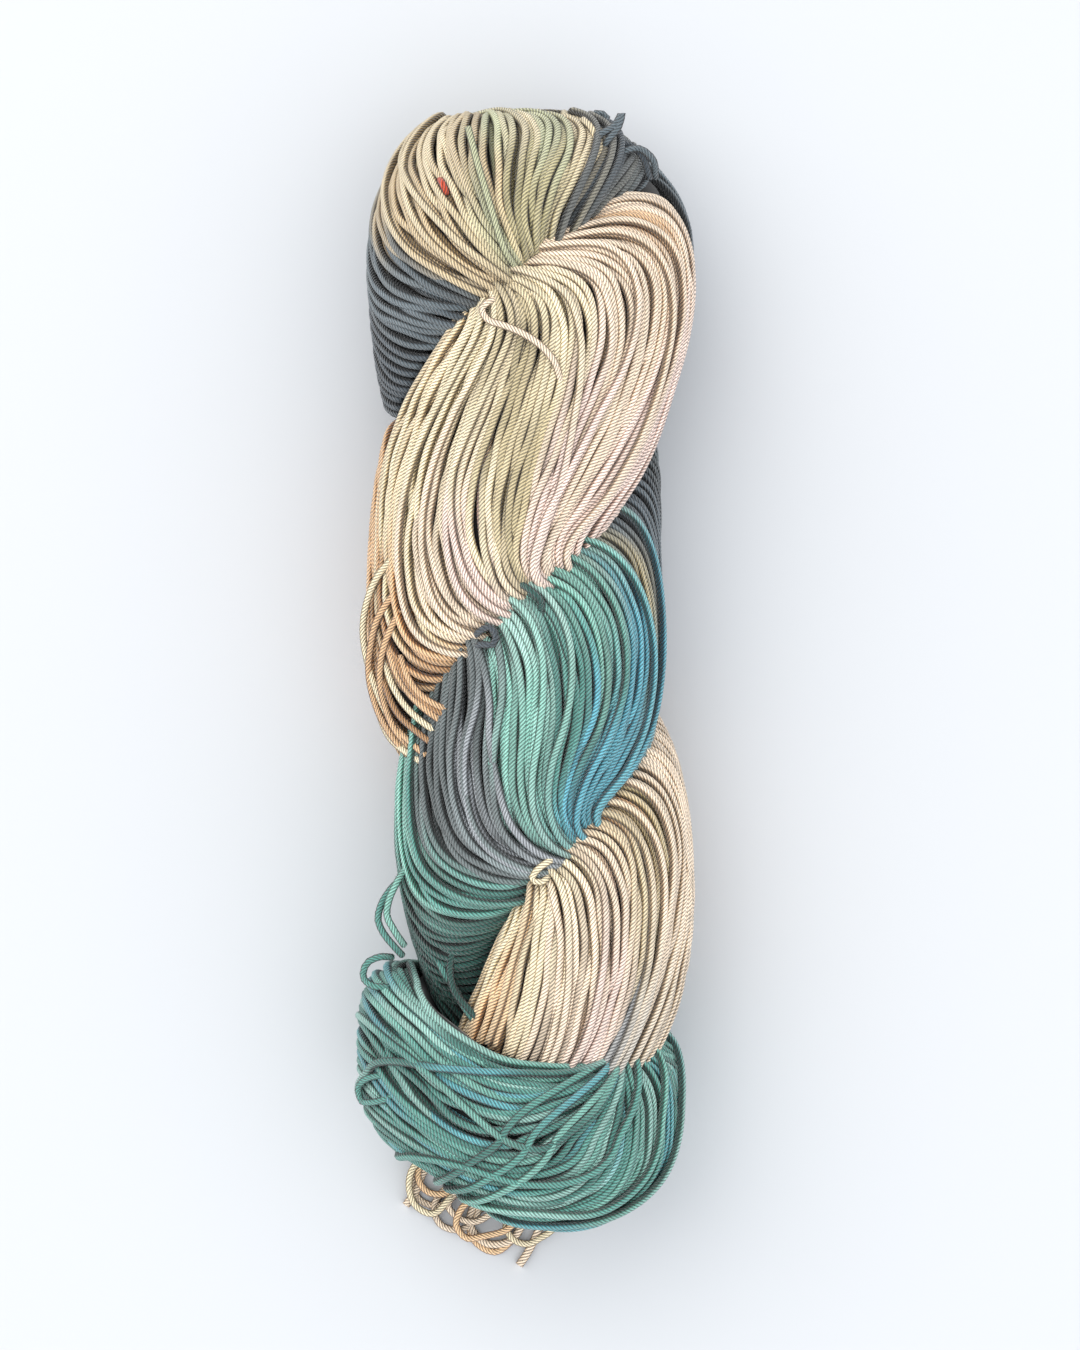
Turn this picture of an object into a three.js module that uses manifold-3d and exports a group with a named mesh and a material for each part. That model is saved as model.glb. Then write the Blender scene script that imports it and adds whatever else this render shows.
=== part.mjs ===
// A hank of cotton yarn, lying on its side: a skein that is twisted, folded in two so that its halves wrap
// round each other as two strands, and locked by its own green end loop, which is drawn over the pale end.
// Millimetres, +Z up, +Y from the locked end to the fold, origin on the surface under the hank's middle.

import * as THREE from "three";
import { mergeVertices } from "three/addons/utils/BufferGeometryUtils.js";
import Module from "manifold-3d";

const wasm = await Module();
wasm.setup();

// Driving sizes
const YARN = 2.0;               // diameter of the plied yarn
const SAG = 0.78;               // share of its round height that the soft hank keeps when it lies down
const AXIS_HEIGHT = 23.4;       // from the surface to the line that the two strands wind round
const HEART = 92;               // place along Y of the point that the fold bends round
const HEART_GAP = 0.5;          // room that each strand leaves at the heart of the fold
const HEART_REACH = 1.2;        // quarter turns from the fold over which that room is left
const TUCK = { quarter: 0.1, share: 0.02 };  // how far the green strand starts inside the pale one
const CORE = { wide: 9, thick: 7, from: 84, to: -96 };  // middle where the strands press together
const LONG = 400;               // more than the hank's length, for the block that trims its underside
const SHORTEST_EDGE = 0.05;     // finer slivers than this are closed up

// Where the rope of two strands runs: its axis, for each quarter turn counted from the top of the fold
const AXIS = [
  { quarter: 0.0, y: 109.0, x: -1.0 },
  { quarter: 0.5, y: 103.5, x: -1.5 },
  { quarter: 1.0, y: 88.0, x: -2.2 },
  { quarter: 2.0, y: 52.8, x: -1.0 },
  { quarter: 3.0, y: 13.9, x: -4.8 },
  { quarter: 4.0, y: -14.3, x: 0.0 },
  { quarter: 5.0, y: -41.0, x: 4.0 },
  { quarter: 5.5, y: -58.0, x: 5.5 },
  { quarter: 6.0, y: -80.0, x: 6.0 },
  { quarter: 6.6, y: -104.0, x: -3.0 },
  { quarter: 7.0, y: -114.0, x: -10.0 },
];

// The pale strand, from the fold to the end that the green loop holds: the reach is from the axis to the
// strand's middle, and wide and thick are half its section, along the rope and outward
const PALE_STRAND = [
  { quarter: 0.0, reach: 14.0, wide: 28.0, thick: 15.5 },
  { quarter: 0.5, reach: 15.0, wide: 28.0, thick: 16.5 },
  { quarter: 1.0, reach: 19.0, wide: 26.0, thick: 20.0 },
  { quarter: 2.0, reach: 15.0, wide: 28.0, thick: 17.0 },
  { quarter: 3.0, reach: 15.5, wide: 27.0, thick: 16.0 },
  { quarter: 4.0, reach: 15.0, wide: 25.0, thick: 15.5 },
  { quarter: 5.0, reach: 16.0, wide: 26.0, thick: 16.0 },
  { quarter: 5.5, reach: 15.0, wide: 24.0, thick: 15.0 },
  { quarter: 6.0, reach: 12.0, wide: 21.0, thick: 13.0 },
  { quarter: 6.6, reach: 3.0, wide: 18.0, thick: 14.5 },
  { quarter: 7.0, reach: 0.0, wide: 15.0, thick: 12.0 },
];

// The green and grey strand, from the fold to where it opens out into the locking loop
const GREEN_STRAND = [
  { quarter: 0.0, reach: 14.0, wide: 28.0, thick: 15.5 },
  { quarter: 0.5, reach: 15.5, wide: 29.0, thick: 18.0 },
  { quarter: 1.0, reach: 17.0, wide: 29.0, thick: 17.0 },
  { quarter: 2.0, reach: 15.0, wide: 27.0, thick: 16.0 },
  { quarter: 3.0, reach: 17.0, wide: 27.0, thick: 17.0 },
  { quarter: 4.0, reach: 15.5, wide: 25.0, thick: 16.5 },
  { quarter: 5.0, reach: 17.0, wide: 26.0, thick: 16.7 },
  { quarter: 5.5, reach: 16.0, wide: 24.0, thick: 14.0 },
  { quarter: 6.0, reach: 14.0, wide: 20.0, thick: 12.0 },
];

// The locking loop, round the pale strand's end: turn is in degrees from the hank's right side over its
// top, y is the middle of the band there and half is half the band's width
const LOOP_BAND = [
  { turn: 0, y: -94.0, half: 18.0 },
  { turn: 30, y: -99.0, half: 18.5 },
  { turn: 60, y: -103.0, half: 19.0 },
  { turn: 90, y: -101.5, half: 19.0 },
  { turn: 135, y: -90.5, half: 19.0 },
  { turn: 180, y: -83.5, half: 19.5 },
  { turn: 270, y: -86.0, half: 17.0 },
  { turn: 360, y: -94.0, half: 18.0 },
];
const LOOP = { x: -2.4, across: 26, up: 21.8, thick: 10, squareness: 0.75 };

// Loose ends of the pale strand's yarn, which come out under the loop and lie on the surface: x, y and z
// along their middle lines
const LOOSE_ENDS = {
  loose_end_1: [
    [-4, -103.8, 6.4], [-8.5, -106, 3.6], [-14, -107.5, 1.2], [-20, -110, 1],
    [-24, -113, 1], [-25.5, -117, 1], [-28, -120.5, 1],
  ],
  loose_loop: [
    [0, -104.1, 6.5], [-3.5, -108, 3.8], [-8, -113.5, 1.2], [-12, -119, 1],
    [-13.5, -125, 1], [-10, -129, 1], [-4.5, -128.5, 1], [-1, -123, 1],
    [1.5, -115.5, 1], [3.5, -109.5, 3], [4.5, -105, 7],
  ],
  loose_end_2: [
    [9, -105.7, 8.2], [8, -110.5, 4], [6, -115.5, 1.2], [3.8, -121.5, 1],
    [1.5, -127, 1], [-0.5, -131, 1], [-2.5, -134, 1],
  ],
};

// Steps of the faceted surfaces
const STRAND_STEPS = 58;
const STRAND_SIDES = 30;
const LOOP_STEPS = 48;
const LOOP_SIDES = 18;
const CORE_STEPS = 24;
const CORE_SIDES = 12;
const YARN_SIDES = 8;

/** The value of a table's column at a place between its rows, on a smooth curve through them. */
function between(rows, along, column, place) {
  const last = rows.length - 1;
  const at = Math.min(Math.max(place, rows[0][along]), rows[last][along]);
  let row = 0;
  while (row < last - 1 && at > rows[row + 1][along]) row += 1;
  const step = (k) => rows[k + 1][along] - rows[k][along];
  const slope = (k) => (rows[k + 1][column] - rows[k][column]) / step(k);
  const lean = (k) => {
    if (k === 0) return slope(0);
    if (k === last) return slope(last - 1);
    return (slope(k - 1) * step(k) + slope(k) * step(k - 1)) / (step(k - 1) + step(k));
  };
  const share = (at - rows[row][along]) / step(row);
  const [start, end] = [rows[row][column], rows[row + 1][column]];
  const [leave, arrive] = [lean(row) * step(row), lean(row + 1) * step(row)];
  const bend = 3 * (end - start) - 2 * leave - arrive;
  return start + share * (leave + share * (bend + share * (2 * (start - end) + leave + arrive)));
}

/** Middle of a strand, before it sags, with the axis at height 0. Negative quarters are the green strand. */
function strandMiddle(quarter) {
  const turned = Math.abs(quarter);
  const rows = quarter >= 0 ? PALE_STRAND : GREEN_STRAND;
  const rise = Math.sin((Math.min(turned, 1) * Math.PI) / 2);
  const reach = between(rows, "quarter", "reach", turned) * rise;
  const angle = ((turned - 1) * Math.PI) / 2 + (quarter >= 0 ? 0 : Math.PI);
  return new THREE.Vector3(
    between(AXIS, "quarter", "x", turned) + reach * Math.cos(angle),
    between(AXIS, "quarter", "y", turned),
    reach * Math.sin(angle),
  );
}

/** A strand's frame at a place: middle, outward and sideways directions, and half sizes. */
function strandFrame(quarter) {
  const nudge = 0.001;
  const turned = Math.abs(quarter);
  const rows = quarter >= 0 ? PALE_STRAND : GREEN_STRAND;
  const middle = strandMiddle(quarter);
  const ahead = strandMiddle(quarter + nudge).sub(strandMiddle(quarter - nudge)).normalize();
  const heart = new THREE.Vector3(between(AXIS, "quarter", "x", turned), Math.min(middle.y, HEART), 0);
  const outward = middle.clone().sub(heart);
  const distance = outward.length();
  outward.addScaledVector(ahead, -outward.dot(ahead)).normalize();
  const thick = between(rows, "quarter", "thick", turned);
  return {
    middle,
    outward,
    sideways: new THREE.Vector3().crossVectors(ahead, outward),
    wide: between(rows, "quarter", "wide", turned),
    thick,
    inside: turned < HEART_REACH ? Math.min(thick, distance - HEART_GAP) : thick,
  };
}

/** A point of a strand: angle goes round the section from its outward side, and fill is 1 at the skin. */
function strandPoint(quarter, angle, fill) {
  const { middle, outward, sideways, wide, thick, inside } = strandFrame(quarter);
  const out = Math.cos(angle);
  return middle
    .addScaledVector(outward, fill * out * (out > 0 ? thick : inside))
    .addScaledVector(sideways, fill * Math.sin(angle) * wide);
}

/** A point on the locking loop: turn in radians goes round the hank, angle round the band's section. */
function loopPoint(turn, angle) {
  const degrees = (THREE.MathUtils.radToDeg(turn) + 360) % 360;
  const squared = (value) => Math.sign(value) * Math.abs(value) ** LOOP.squareness;
  const out = LOOP.thick * squared(Math.cos(angle));
  const along = between(LOOP_BAND, "turn", "half", degrees) * squared(Math.sin(angle));
  return new THREE.Vector3(
    LOOP.x + (LOOP.across + out) * Math.cos(turn),
    between(LOOP_BAND, "turn", "y", degrees) + along,
    (LOOP.up + out) * Math.sin(turn),
  );
}

/** Lets a point sag to the height that it has when the hank lies on the surface. */
function settle(point) {
  point.z = point.z * SAG + AXIS_HEIGHT;
  return point;
}

/** Turns a closed three.js shape into a solid that can be joined and cut. */
function toSolid(geometry) {
  const bare = geometry.index ? geometry.toNonIndexed() : geometry.clone();
  bare.deleteAttribute("normal");
  bare.deleteAttribute("uv");
  const merged = mergeVertices(bare, 1e-4);
  return new wasm.Manifold(
    new wasm.Mesh({
      numProp: 3,
      vertProperties: new Float32Array(merged.attributes.position.array),
      triVerts: new Uint32Array(merged.index.array),
    }),
  );
}

/** Turns a solid back into a three.js shape. */
function toGeometry(solid) {
  const { vertProperties, triVerts } = solid.getMesh();
  const geometry = new THREE.BufferGeometry();
  geometry.setAttribute("position", new THREE.BufferAttribute(vertProperties, 3));
  geometry.setIndex(new THREE.BufferAttribute(triVerts, 1));
  geometry.computeVertexNormals();
  return geometry;
}

/** A round bar, bent and swollen: place(share, angle, fill) says where each of its points goes. */
function shapedBar(place, steps, sides) {
  const bar = new THREE.CylinderGeometry(1, 1, 1, sides, steps);
  const spots = bar.attributes.position;
  const sector = (2 * Math.PI) / sides;
  for (let spot = 0; spot < spots.count; spot += 1) {
    const fill = Math.round(Math.hypot(spots.getX(spot), spots.getZ(spot)));
    const angle = sector * Math.round(Math.atan2(spots.getX(spot), spots.getZ(spot)) / sector);
    const { x, y, z } = place(0.5 - spots.getY(spot), angle, fill);
    spots.setXYZ(spot, x, y, z);
  }
  return toSolid(bar);
}

/**
 * One strand, from the fold to its last row; side is 1 for the pale strand and -1 for the green one. The
 * green strand starts a little inside the pale one and comes up to its full size just past the fold's top.
 */
function strand(rows, side) {
  const last = rows[rows.length - 1].quarter;
  const first = side > 0 ? 0 : -TUCK.quarter;
  const place = (share, angle, fill) => {
    const quarter = THREE.MathUtils.lerp(first, last, share);
    const tuck = THREE.MathUtils.clamp((TUCK.quarter - quarter) / (2 * TUCK.quarter), 0, 1);
    const size = side > 0 ? 1 : 1 - TUCK.share * tuck;
    return settle(strandPoint(side * quarter, -side * angle, fill * size));
  };
  return shapedBar(place, STRAND_STEPS, STRAND_SIDES);
}

/** The locking loop, a ring whose band is bent to the rows of its table. */
function lockingLoop() {
  const ring = new THREE.TorusGeometry(2, 1, LOOP_SIDES, LOOP_STEPS);
  const spots = ring.attributes.position;
  for (let spot = 0; spot < spots.count; spot += 1) {
    const turn = Math.atan2(spots.getY(spot), spots.getX(spot));
    const out = Math.hypot(spots.getX(spot), spots.getY(spot)) - 2;
    const angle = Math.atan2(-spots.getZ(spot), out);
    const { x, y, z } = settle(loopPoint(turn, angle));
    spots.setXYZ(spot, x, y, z);
  }
  return toSolid(ring);
}

/** The packed middle, where the strands are pressed together along the axis. */
function core() {
  const place = (share, angle, fill) => {
    const y = THREE.MathUtils.lerp(CORE.from, CORE.to, share);
    const quarter = AXIS.find((row) => row.y <= y).quarter;
    const x = between(AXIS, "quarter", "x", quarter);
    const across = fill * CORE.wide * Math.sin(angle);
    return settle(new THREE.Vector3(x + across, y, fill * CORE.thick * Math.cos(angle)));
  };
  return shapedBar(place, CORE_STEPS, CORE_SIDES);
}

/** The whole hank in one solid, with flats where it rests. */
function hankSolid() {
  const strands = strand(PALE_STRAND, 1).add(strand(GREEN_STRAND, -1));
  const joined = strands.add(lockingLoop()).add(core());
  const below = new THREE.BoxGeometry(LONG, LONG, LONG).translate(0, 0, -LONG / 2);
  const bodies = joined.subtract(toSolid(below)).simplify(SHORTEST_EDGE).decompose();
  // The largest body is the outside; any other one bounds a closed pocket, which is filled
  return bodies.sort((one, other) => other.volume() - one.volume())[0];
}

/** A loose end: a length of yarn along hand-placed points. */
function looseEnd(points) {
  const radius = YARN / 2;
  const places = points.map((point) => new THREE.Vector3(...point));
  const route = new THREE.CatmullRomCurve3(places, false, "centripetal");
  const corners = Array.from({ length: YARN_SIDES }, (_, side) => {
    const angle = ((side + 0.5) * 2 * Math.PI) / YARN_SIDES;
    return new THREE.Vector2(radius * Math.cos(angle), radius * Math.sin(angle));
  });
  const steps = Math.ceil(route.getLength() / (2 * YARN));
  const sweep = { steps, extrudePath: route, bevelEnabled: false };
  return new THREE.ExtrudeGeometry(new THREE.Shape(corners), sweep);
}

const cotton = (colour) => new THREE.MeshStandardMaterial({ color: colour, roughness: 0.85, metalness: 0 });
const DYED_COTTON = cotton(0xa9b4a0);
const PALE_COTTON = cotton(0xe8cbb0);

const part = new THREE.Group();

const hank = new THREE.Mesh(toGeometry(hankSolid()), DYED_COTTON);
hank.name = "hank";
part.add(hank);

for (const [name, points] of Object.entries(LOOSE_ENDS)) {
  const end = new THREE.Mesh(looseEnd(points), PALE_COTTON);
  end.name = name;
  part.add(end);
}

// The origin is under the middle of the hank itself
const spread = new THREE.Box3().setFromObject(hank);
const middle = spread.getCenter(new THREE.Vector3());
part.position.set(-middle.x, -middle.y, -spread.min.z);

export default part;
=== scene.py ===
# %% [markdown]
# # A hank of hand-dyed cotton yarn
#
# The hank is one long skein of plied cotton. It is twisted, folded in two so that its halves wind round
# each other as two strands, and locked by its own green end loop. Everything here is made of lengths of
# yarn: bare tubes whose paths are worked out on the skin of the strands, with the ply, the dye and the down
# in their material. Lengths are in millimetres until a mesh is made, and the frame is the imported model's
# own.

# %% Loading the frame
from math import pi

import bpy
import numpy as np
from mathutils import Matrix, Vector
from mathutils.bvhtree import BVHTree


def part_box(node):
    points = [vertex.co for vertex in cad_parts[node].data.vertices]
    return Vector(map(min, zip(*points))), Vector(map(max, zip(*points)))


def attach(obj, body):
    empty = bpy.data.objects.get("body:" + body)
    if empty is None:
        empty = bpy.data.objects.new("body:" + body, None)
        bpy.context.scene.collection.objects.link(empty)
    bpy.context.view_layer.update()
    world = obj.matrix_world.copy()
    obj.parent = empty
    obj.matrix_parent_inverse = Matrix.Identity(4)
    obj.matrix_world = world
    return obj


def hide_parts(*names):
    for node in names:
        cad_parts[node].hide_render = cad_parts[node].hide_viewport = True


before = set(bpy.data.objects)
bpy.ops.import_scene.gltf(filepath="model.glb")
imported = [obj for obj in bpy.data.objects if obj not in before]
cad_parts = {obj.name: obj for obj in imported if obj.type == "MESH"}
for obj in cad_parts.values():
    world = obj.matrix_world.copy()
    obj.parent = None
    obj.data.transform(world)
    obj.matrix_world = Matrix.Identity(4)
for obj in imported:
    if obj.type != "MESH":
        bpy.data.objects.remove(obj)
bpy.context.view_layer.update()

MM = 0.001
print("solids:", sorted(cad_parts))

# %% [markdown]
# ## Camera, table and light
#
# The hank is seen from straight above, with its fold away from the viewer. The camera is far enough for a
# mild perspective. Its lens is worked out from the width of the view at the hank's middle height.

# %% Camera
PHOTO_WIDE, PHOTO_HIGH = 1080, 1350
MM_PER_PIXEL = 0.22
EYE_HEIGHT = 1050.0
MIDDLE_HEIGHT = 25.0
FILM = 36.0
VIEW_MIDDLE = (2.9, -2.4)

camera_data = bpy.data.cameras.new("camera")
camera = bpy.data.objects.new("camera", camera_data)
bpy.context.collection.objects.link(camera)
camera.location = (VIEW_MIDDLE[0] * MM, VIEW_MIDDLE[1] * MM, EYE_HEIGHT * MM)
camera_data.sensor_width = FILM
camera_data.lens = FILM * (EYE_HEIGHT - MIDDLE_HEIGHT) / (PHOTO_HIGH * MM_PER_PIXEL)
camera_data.clip_start = 0.01
bpy.context.scene.camera = camera
print("lens", round(camera_data.lens, 1), "mm")

# %% Table
TABLE = 4.0
bpy.ops.object.select_all(action="DESELECT")
bpy.ops.mesh.primitive_plane_add(size=TABLE)
table = bpy.context.active_object
table.name = "table"
cloth = bpy.data.materials.new("table_white")
cloth.use_nodes = True
paint = cloth.node_tree.nodes["Principled BSDF"]
paint.inputs["Base Color"].default_value = (0.63, 0.645, 0.665, 1)
paint.inputs["Roughness"].default_value = 0.9
table.data.materials.append(cloth)

# %% Light
def add_light(name, place, aim, size, watts, colour):
    """A square soft light at a place, turned to its aim."""
    lamp = bpy.data.lights.new(name, "AREA")
    lamp.energy = watts
    lamp.color = colour
    lamp.size = size
    thing = bpy.data.objects.new(name, lamp)
    bpy.context.collection.objects.link(thing)
    thing.location = place
    thing.rotation_euler = (Vector(aim) - Vector(place)).to_track_quat("-Z", "Y").to_euler()


add_light("window", (-0.9, 0.8, 1.5), (0, 0, 0), 2.2, 22, (1.0, 0.985, 0.96))
add_light("sky_side", (1.0, -0.8, 1.3), (0, 0, 0), 2.2, 9, (0.93, 0.96, 1.0))
world = bpy.data.worlds.new("studio")
world.use_nodes = True
world.node_tree.nodes["Background"].inputs["Color"].default_value = (0.95, 0.97, 1.0, 1)
world.node_tree.nodes["Background"].inputs["Strength"].default_value = 1.12
bpy.context.scene.world = world
bpy.context.scene.view_settings.view_transform = "Standard"

# %% [markdown]
# ## Cotton
#
# The yarn is plied: several fine plies wind round each other, and show as short slanting strokes. The node
# group works them out from the map, so that they follow each run. It puts out the height of the plies, a
# colour with painted shade in the grooves between them and on the flanks of each turn where it meets its
# neighbours, fibre streaks and a roughness.

# %% Node group of the plies
YARN = 1.9
RADIUS = YARN / 2
PLY_STROKES = 6
STROKE_LEAD = 5.4


def join(tree, *links):
    """Links pairs of sockets."""
    for start, end in links:
        tree.links.new(start, end)


def sum_node(tree, operation, *values):
    """A math node whose inputs are numbers or sockets; returns its output."""
    node = tree.nodes.new("ShaderNodeMath")
    node.operation = operation
    for place, value in enumerate(values):
        if isinstance(value, (int, float)):
            node.inputs[place].default_value = value
        else:
            tree.links.new(value, node.inputs[place])
    return node.outputs[0]


def make_ply_group():
    """The node group of the plied yarn, with painted shade in its ply grooves and on each turn's flanks."""
    group = bpy.data.node_groups.new("plied_yarn_painted_shade", "ShaderNodeTree")
    group.interface.new_socket("Map", in_out="INPUT", socket_type="NodeSocketVector")
    group.interface.new_socket("Dye", in_out="INPUT", socket_type="NodeSocketColor")
    for name, kind in (("Colour", "NodeSocketColor"), ("Height", "NodeSocketFloat"),
                       ("Roughness", "NodeSocketFloat")):
        group.interface.new_socket(name, in_out="OUTPUT", socket_type=kind)
    entry = group.nodes.new("NodeGroupInput")
    leave = group.nodes.new("NodeGroupOutput")
    parts = group.nodes.new("ShaderNodeSeparateXYZ")
    join(group, (entry.outputs["Map"], parts.inputs[0]))
    around, along = parts.outputs[0], parts.outputs[1]

    turned = sum_node(group, "DIVIDE", along, STROKE_LEAD)
    phase = sum_node(group, "MULTIPLY", sum_node(group, "SUBTRACT", around, turned), PLY_STROKES)
    stroke = sum_node(group, "FRACT", phase)
    off_middle = sum_node(group, "SUBTRACT", sum_node(group, "MULTIPLY", stroke, 2.0), 1.0)
    groove = sum_node(group, "MULTIPLY", off_middle, off_middle)
    ply = sum_node(group, "SUBTRACT", 1.0, groove)

    place = group.nodes.new("ShaderNodeCombineXYZ")
    join(group, (phase, place.inputs[0]), (along, place.inputs[1]))
    fibre = group.nodes.new("ShaderNodeTexNoise")
    fibre.inputs["Scale"].default_value = 1.7
    fibre.inputs["Detail"].default_value = 3.0
    join(group, (place.outputs[0], fibre.inputs["Vector"]))
    stretch = group.nodes.new("ShaderNodeCombineXYZ")
    join(group, (around, stretch.inputs[0]), (sum_node(group, "MULTIPLY", along, 0.16), stretch.inputs[1]))
    streak = group.nodes.new("ShaderNodeTexNoise")
    streak.inputs["Scale"].default_value = 1.0
    streak.inputs["Detail"].default_value = 2.0
    join(group, (stretch.outputs[0], streak.inputs["Vector"]))

    height = sum_node(group, "ADD", ply, sum_node(group, "MULTIPLY", fibre.outputs["Fac"], 0.5))
    # Painted shade: the colour is darker in the grooves between the plies; the fibre and streak noise are the
    # yarn's own uneven tone.
    light = sum_node(group, "ADD", sum_node(group, "MULTIPLY", ply, 0.75), 0.48)
    light = sum_node(group, "MULTIPLY", light,
                     sum_node(group, "ADD", sum_node(group, "MULTIPLY", fibre.outputs["Fac"], 0.5), 0.75))
    light = sum_node(group, "MULTIPLY", light,
                     sum_node(group, "ADD", sum_node(group, "MULTIPLY", streak.outputs["Fac"], 0.5), 0.75))

    # Painted shade: each turn's flanks, away from its outward side, are darkened and deepened in colour.
    facing = sum_node(group, "COSINE", sum_node(group, "MULTIPLY", around, 2 * pi))
    flank_shade_range = group.nodes.new("ShaderNodeMapRange")
    flank_shade_range.interpolation_type = "SMOOTHSTEP"
    join(group, (facing, flank_shade_range.inputs["Value"]))
    flank_shade_range.inputs["From Min"].default_value = 0.3
    flank_shade_range.inputs["From Max"].default_value = 0.88
    lit = flank_shade_range.outputs["Result"]
    painted_flank_shade = sum_node(group, "ADD", sum_node(group, "MULTIPLY", lit, 0.5), 0.5)
    light = sum_node(group, "MULTIPLY", light, painted_flank_shade)
    tint = group.nodes.new("ShaderNodeVectorMath")
    tint.operation = "SCALE"
    flank_shade_gamma = group.nodes.new("ShaderNodeGamma")
    join(group, (entry.outputs["Dye"], tint.inputs[0]), (light, tint.inputs["Scale"]),
         (tint.outputs[0], flank_shade_gamma.inputs["Color"]),
         (sum_node(group, "SUBTRACT", 1.9, sum_node(group, "MULTIPLY", lit, 0.9)), flank_shade_gamma.inputs["Gamma"]),
         (flank_shade_gamma.outputs["Color"], leave.inputs["Colour"]), (height, leave.inputs["Height"]))
    rough = sum_node(group, "ADD", sum_node(group, "MULTIPLY", groove, 0.2), 0.5)
    join(group, (rough, leave.inputs["Roughness"]))
    return group


PLY_GROUP = make_ply_group()


# %% The cotton's material
def make_cotton(name, sheen, bump):
    """Plied cotton coloured by the piece's colour attribute: its dye, and painted shade on the turns below
    and the middle.
    """
    cotton = bpy.data.materials.new(name)
    cotton.use_nodes = True
    tree = cotton.node_tree
    skin = tree.nodes["Principled BSDF"]
    skin.inputs["Sheen Weight"].default_value = sheen
    skin.inputs["Sheen Roughness"].default_value = 0.45
    skin.inputs["Specular IOR Level"].default_value = 0.4
    plied = tree.nodes.new("ShaderNodeGroup")
    plied.node_tree = PLY_GROUP
    run = tree.nodes.new("ShaderNodeUVMap")
    run.uv_map = "yarn_run"
    # The colour attribute holds the dye, with painted shade already in it on the turns below and the packed
    # middle.
    dye = tree.nodes.new("ShaderNodeAttribute")
    dye.attribute_name = "dye"
    relief = tree.nodes.new("ShaderNodeBump")
    relief.inputs["Strength"].default_value = bump
    relief.inputs["Distance"].default_value = 0.4 * MM
    join(tree, (run.outputs["UV"], plied.inputs["Map"]), (dye.outputs["Color"], plied.inputs["Dye"]),
         (plied.outputs["Colour"], skin.inputs["Base Color"]),
         (plied.outputs["Roughness"], skin.inputs["Roughness"]),
         (plied.outputs["Height"], relief.inputs["Height"]),
         (relief.outputs["Normal"], skin.inputs["Normal"]))
    return cotton


DYED_COTTON = make_cotton("dyed_cotton", 0.35, 1.0)
PALE_COTTON = make_cotton("pale_cotton", 0.35, 1.0)

# %% Pots of dye
# The dark brown pot near the end stands for painted shade: the colour of pale turns lying in shade.
DYES = {
    "sand": "e8d6b2", "tan": "dcc49c", "sage": "c0c29c", "olive": "b0a67c", "slate": "626e74",
    "deep_slate": "464f56", "peach": "ffe8cc", "apricot": "ffd6a6", "cream": "ffeec8", "khaki": "c6b68e",
    "blush": "ffe4d6", "mint": "8cc2b2", "sea_green": "5c988c", "teal": "66b0c0", "deep_teal": "2a564e",
    "charcoal": "6c7474", "lilac": "a8acb0", "pale_mint": "b0d6ca", "rust": "d05030", "fawn": "e8be90",
    "shade_umber": "b88c60",
}


def linear(code):
    """Linear colour of a hex code."""
    level = np.array([int(code[place:place + 2], 16) / 255 for place in (0, 2, 4)])
    return np.where(level <= 0.04045, level / 12.92, ((level + 0.055) / 1.055) ** 2.4)

# %% [markdown]
# ## Making a tube of each run of yarn
#
# A curve with a bevel would also give tubes. Here the rings of each tube are worked out directly, because
# then the ply and the dye can be laid along the yarn: the map's first number goes once round it, its second
# is millimetres along it, and a colour for each ring is kept as an attribute. Many runs share one mesh.

# %% Tubes from middle lines
TUBE_SIDES = 8
LEAST_RUN = 4


def unit(vectors):
    """The vectors at length 1."""
    return vectors / np.maximum(np.linalg.norm(vectors, axis=-1, keepdims=True), 1e-9)


def runs_of(kept):
    """First and last places of each stretch of kept points that is long enough to show."""
    edges = np.flatnonzero(np.diff(np.concatenate([[0], kept.astype(int), [0]])))
    return [(first, last) for first, last in edges.reshape(-1, 2) if last - first >= LEAST_RUN]


def tube(points, outward, dye, radius, sides, start_mm):
    """Corners, faces, map and dye of one closed tube; radius is one number or one for each point."""
    count = len(points)
    ahead = unit(np.gradient(points, axis=0))
    up = unit(outward - (outward * ahead).sum(-1, keepdims=True) * ahead)
    across = np.cross(ahead, up)
    angle = np.arange(sides) * 2 * pi / sides
    size = np.broadcast_to(np.asarray(radius, float), (count,))[:, None, None]
    ring = up[:, None] * np.cos(angle)[None, :, None] + across[:, None] * np.sin(angle)[None, :, None]
    corners = (points[:, None] + ring * size).reshape(-1, 3)
    corners = np.concatenate([corners, points[:1], points[-1:]])
    run = start_mm + np.append(0, np.linalg.norm(np.diff(points, axis=0), axis=1).cumsum())
    row, side = (part.ravel() for part in np.meshgrid(np.arange(count - 1), np.arange(sides), indexing="ij"))
    after = (side + 1) % sides
    walls = np.stack([row * sides + side, row * sides + after,
                      (row + 1) * sides + after, (row + 1) * sides + side], -1)
    around = np.stack([side, side + 1, side + 1, side], -1) / sides
    length = np.stack([run[row], run[row], run[row + 1], run[row + 1]], -1)
    side = np.arange(sides)
    after = (side + 1) % sides
    last = (count - 1) * sides
    front = np.stack([np.full(sides, count * sides), after, side], -1)
    back = np.stack([np.full(sides, count * sides + 1), last + side, last + after], -1)
    caps = np.concatenate([front, back])
    cap_map = np.zeros((len(caps) * 3, 2))
    cap_map[:, 1] = np.repeat([run[0], run[-1]], sides * 3)
    wall_map = np.stack([around.ravel(), length.ravel()], -1)
    colours = np.concatenate([np.repeat(dye, sides, 0), dye[:1], dye[-1:]])
    return corners, walls, caps, wall_map, cap_map, colours


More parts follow.
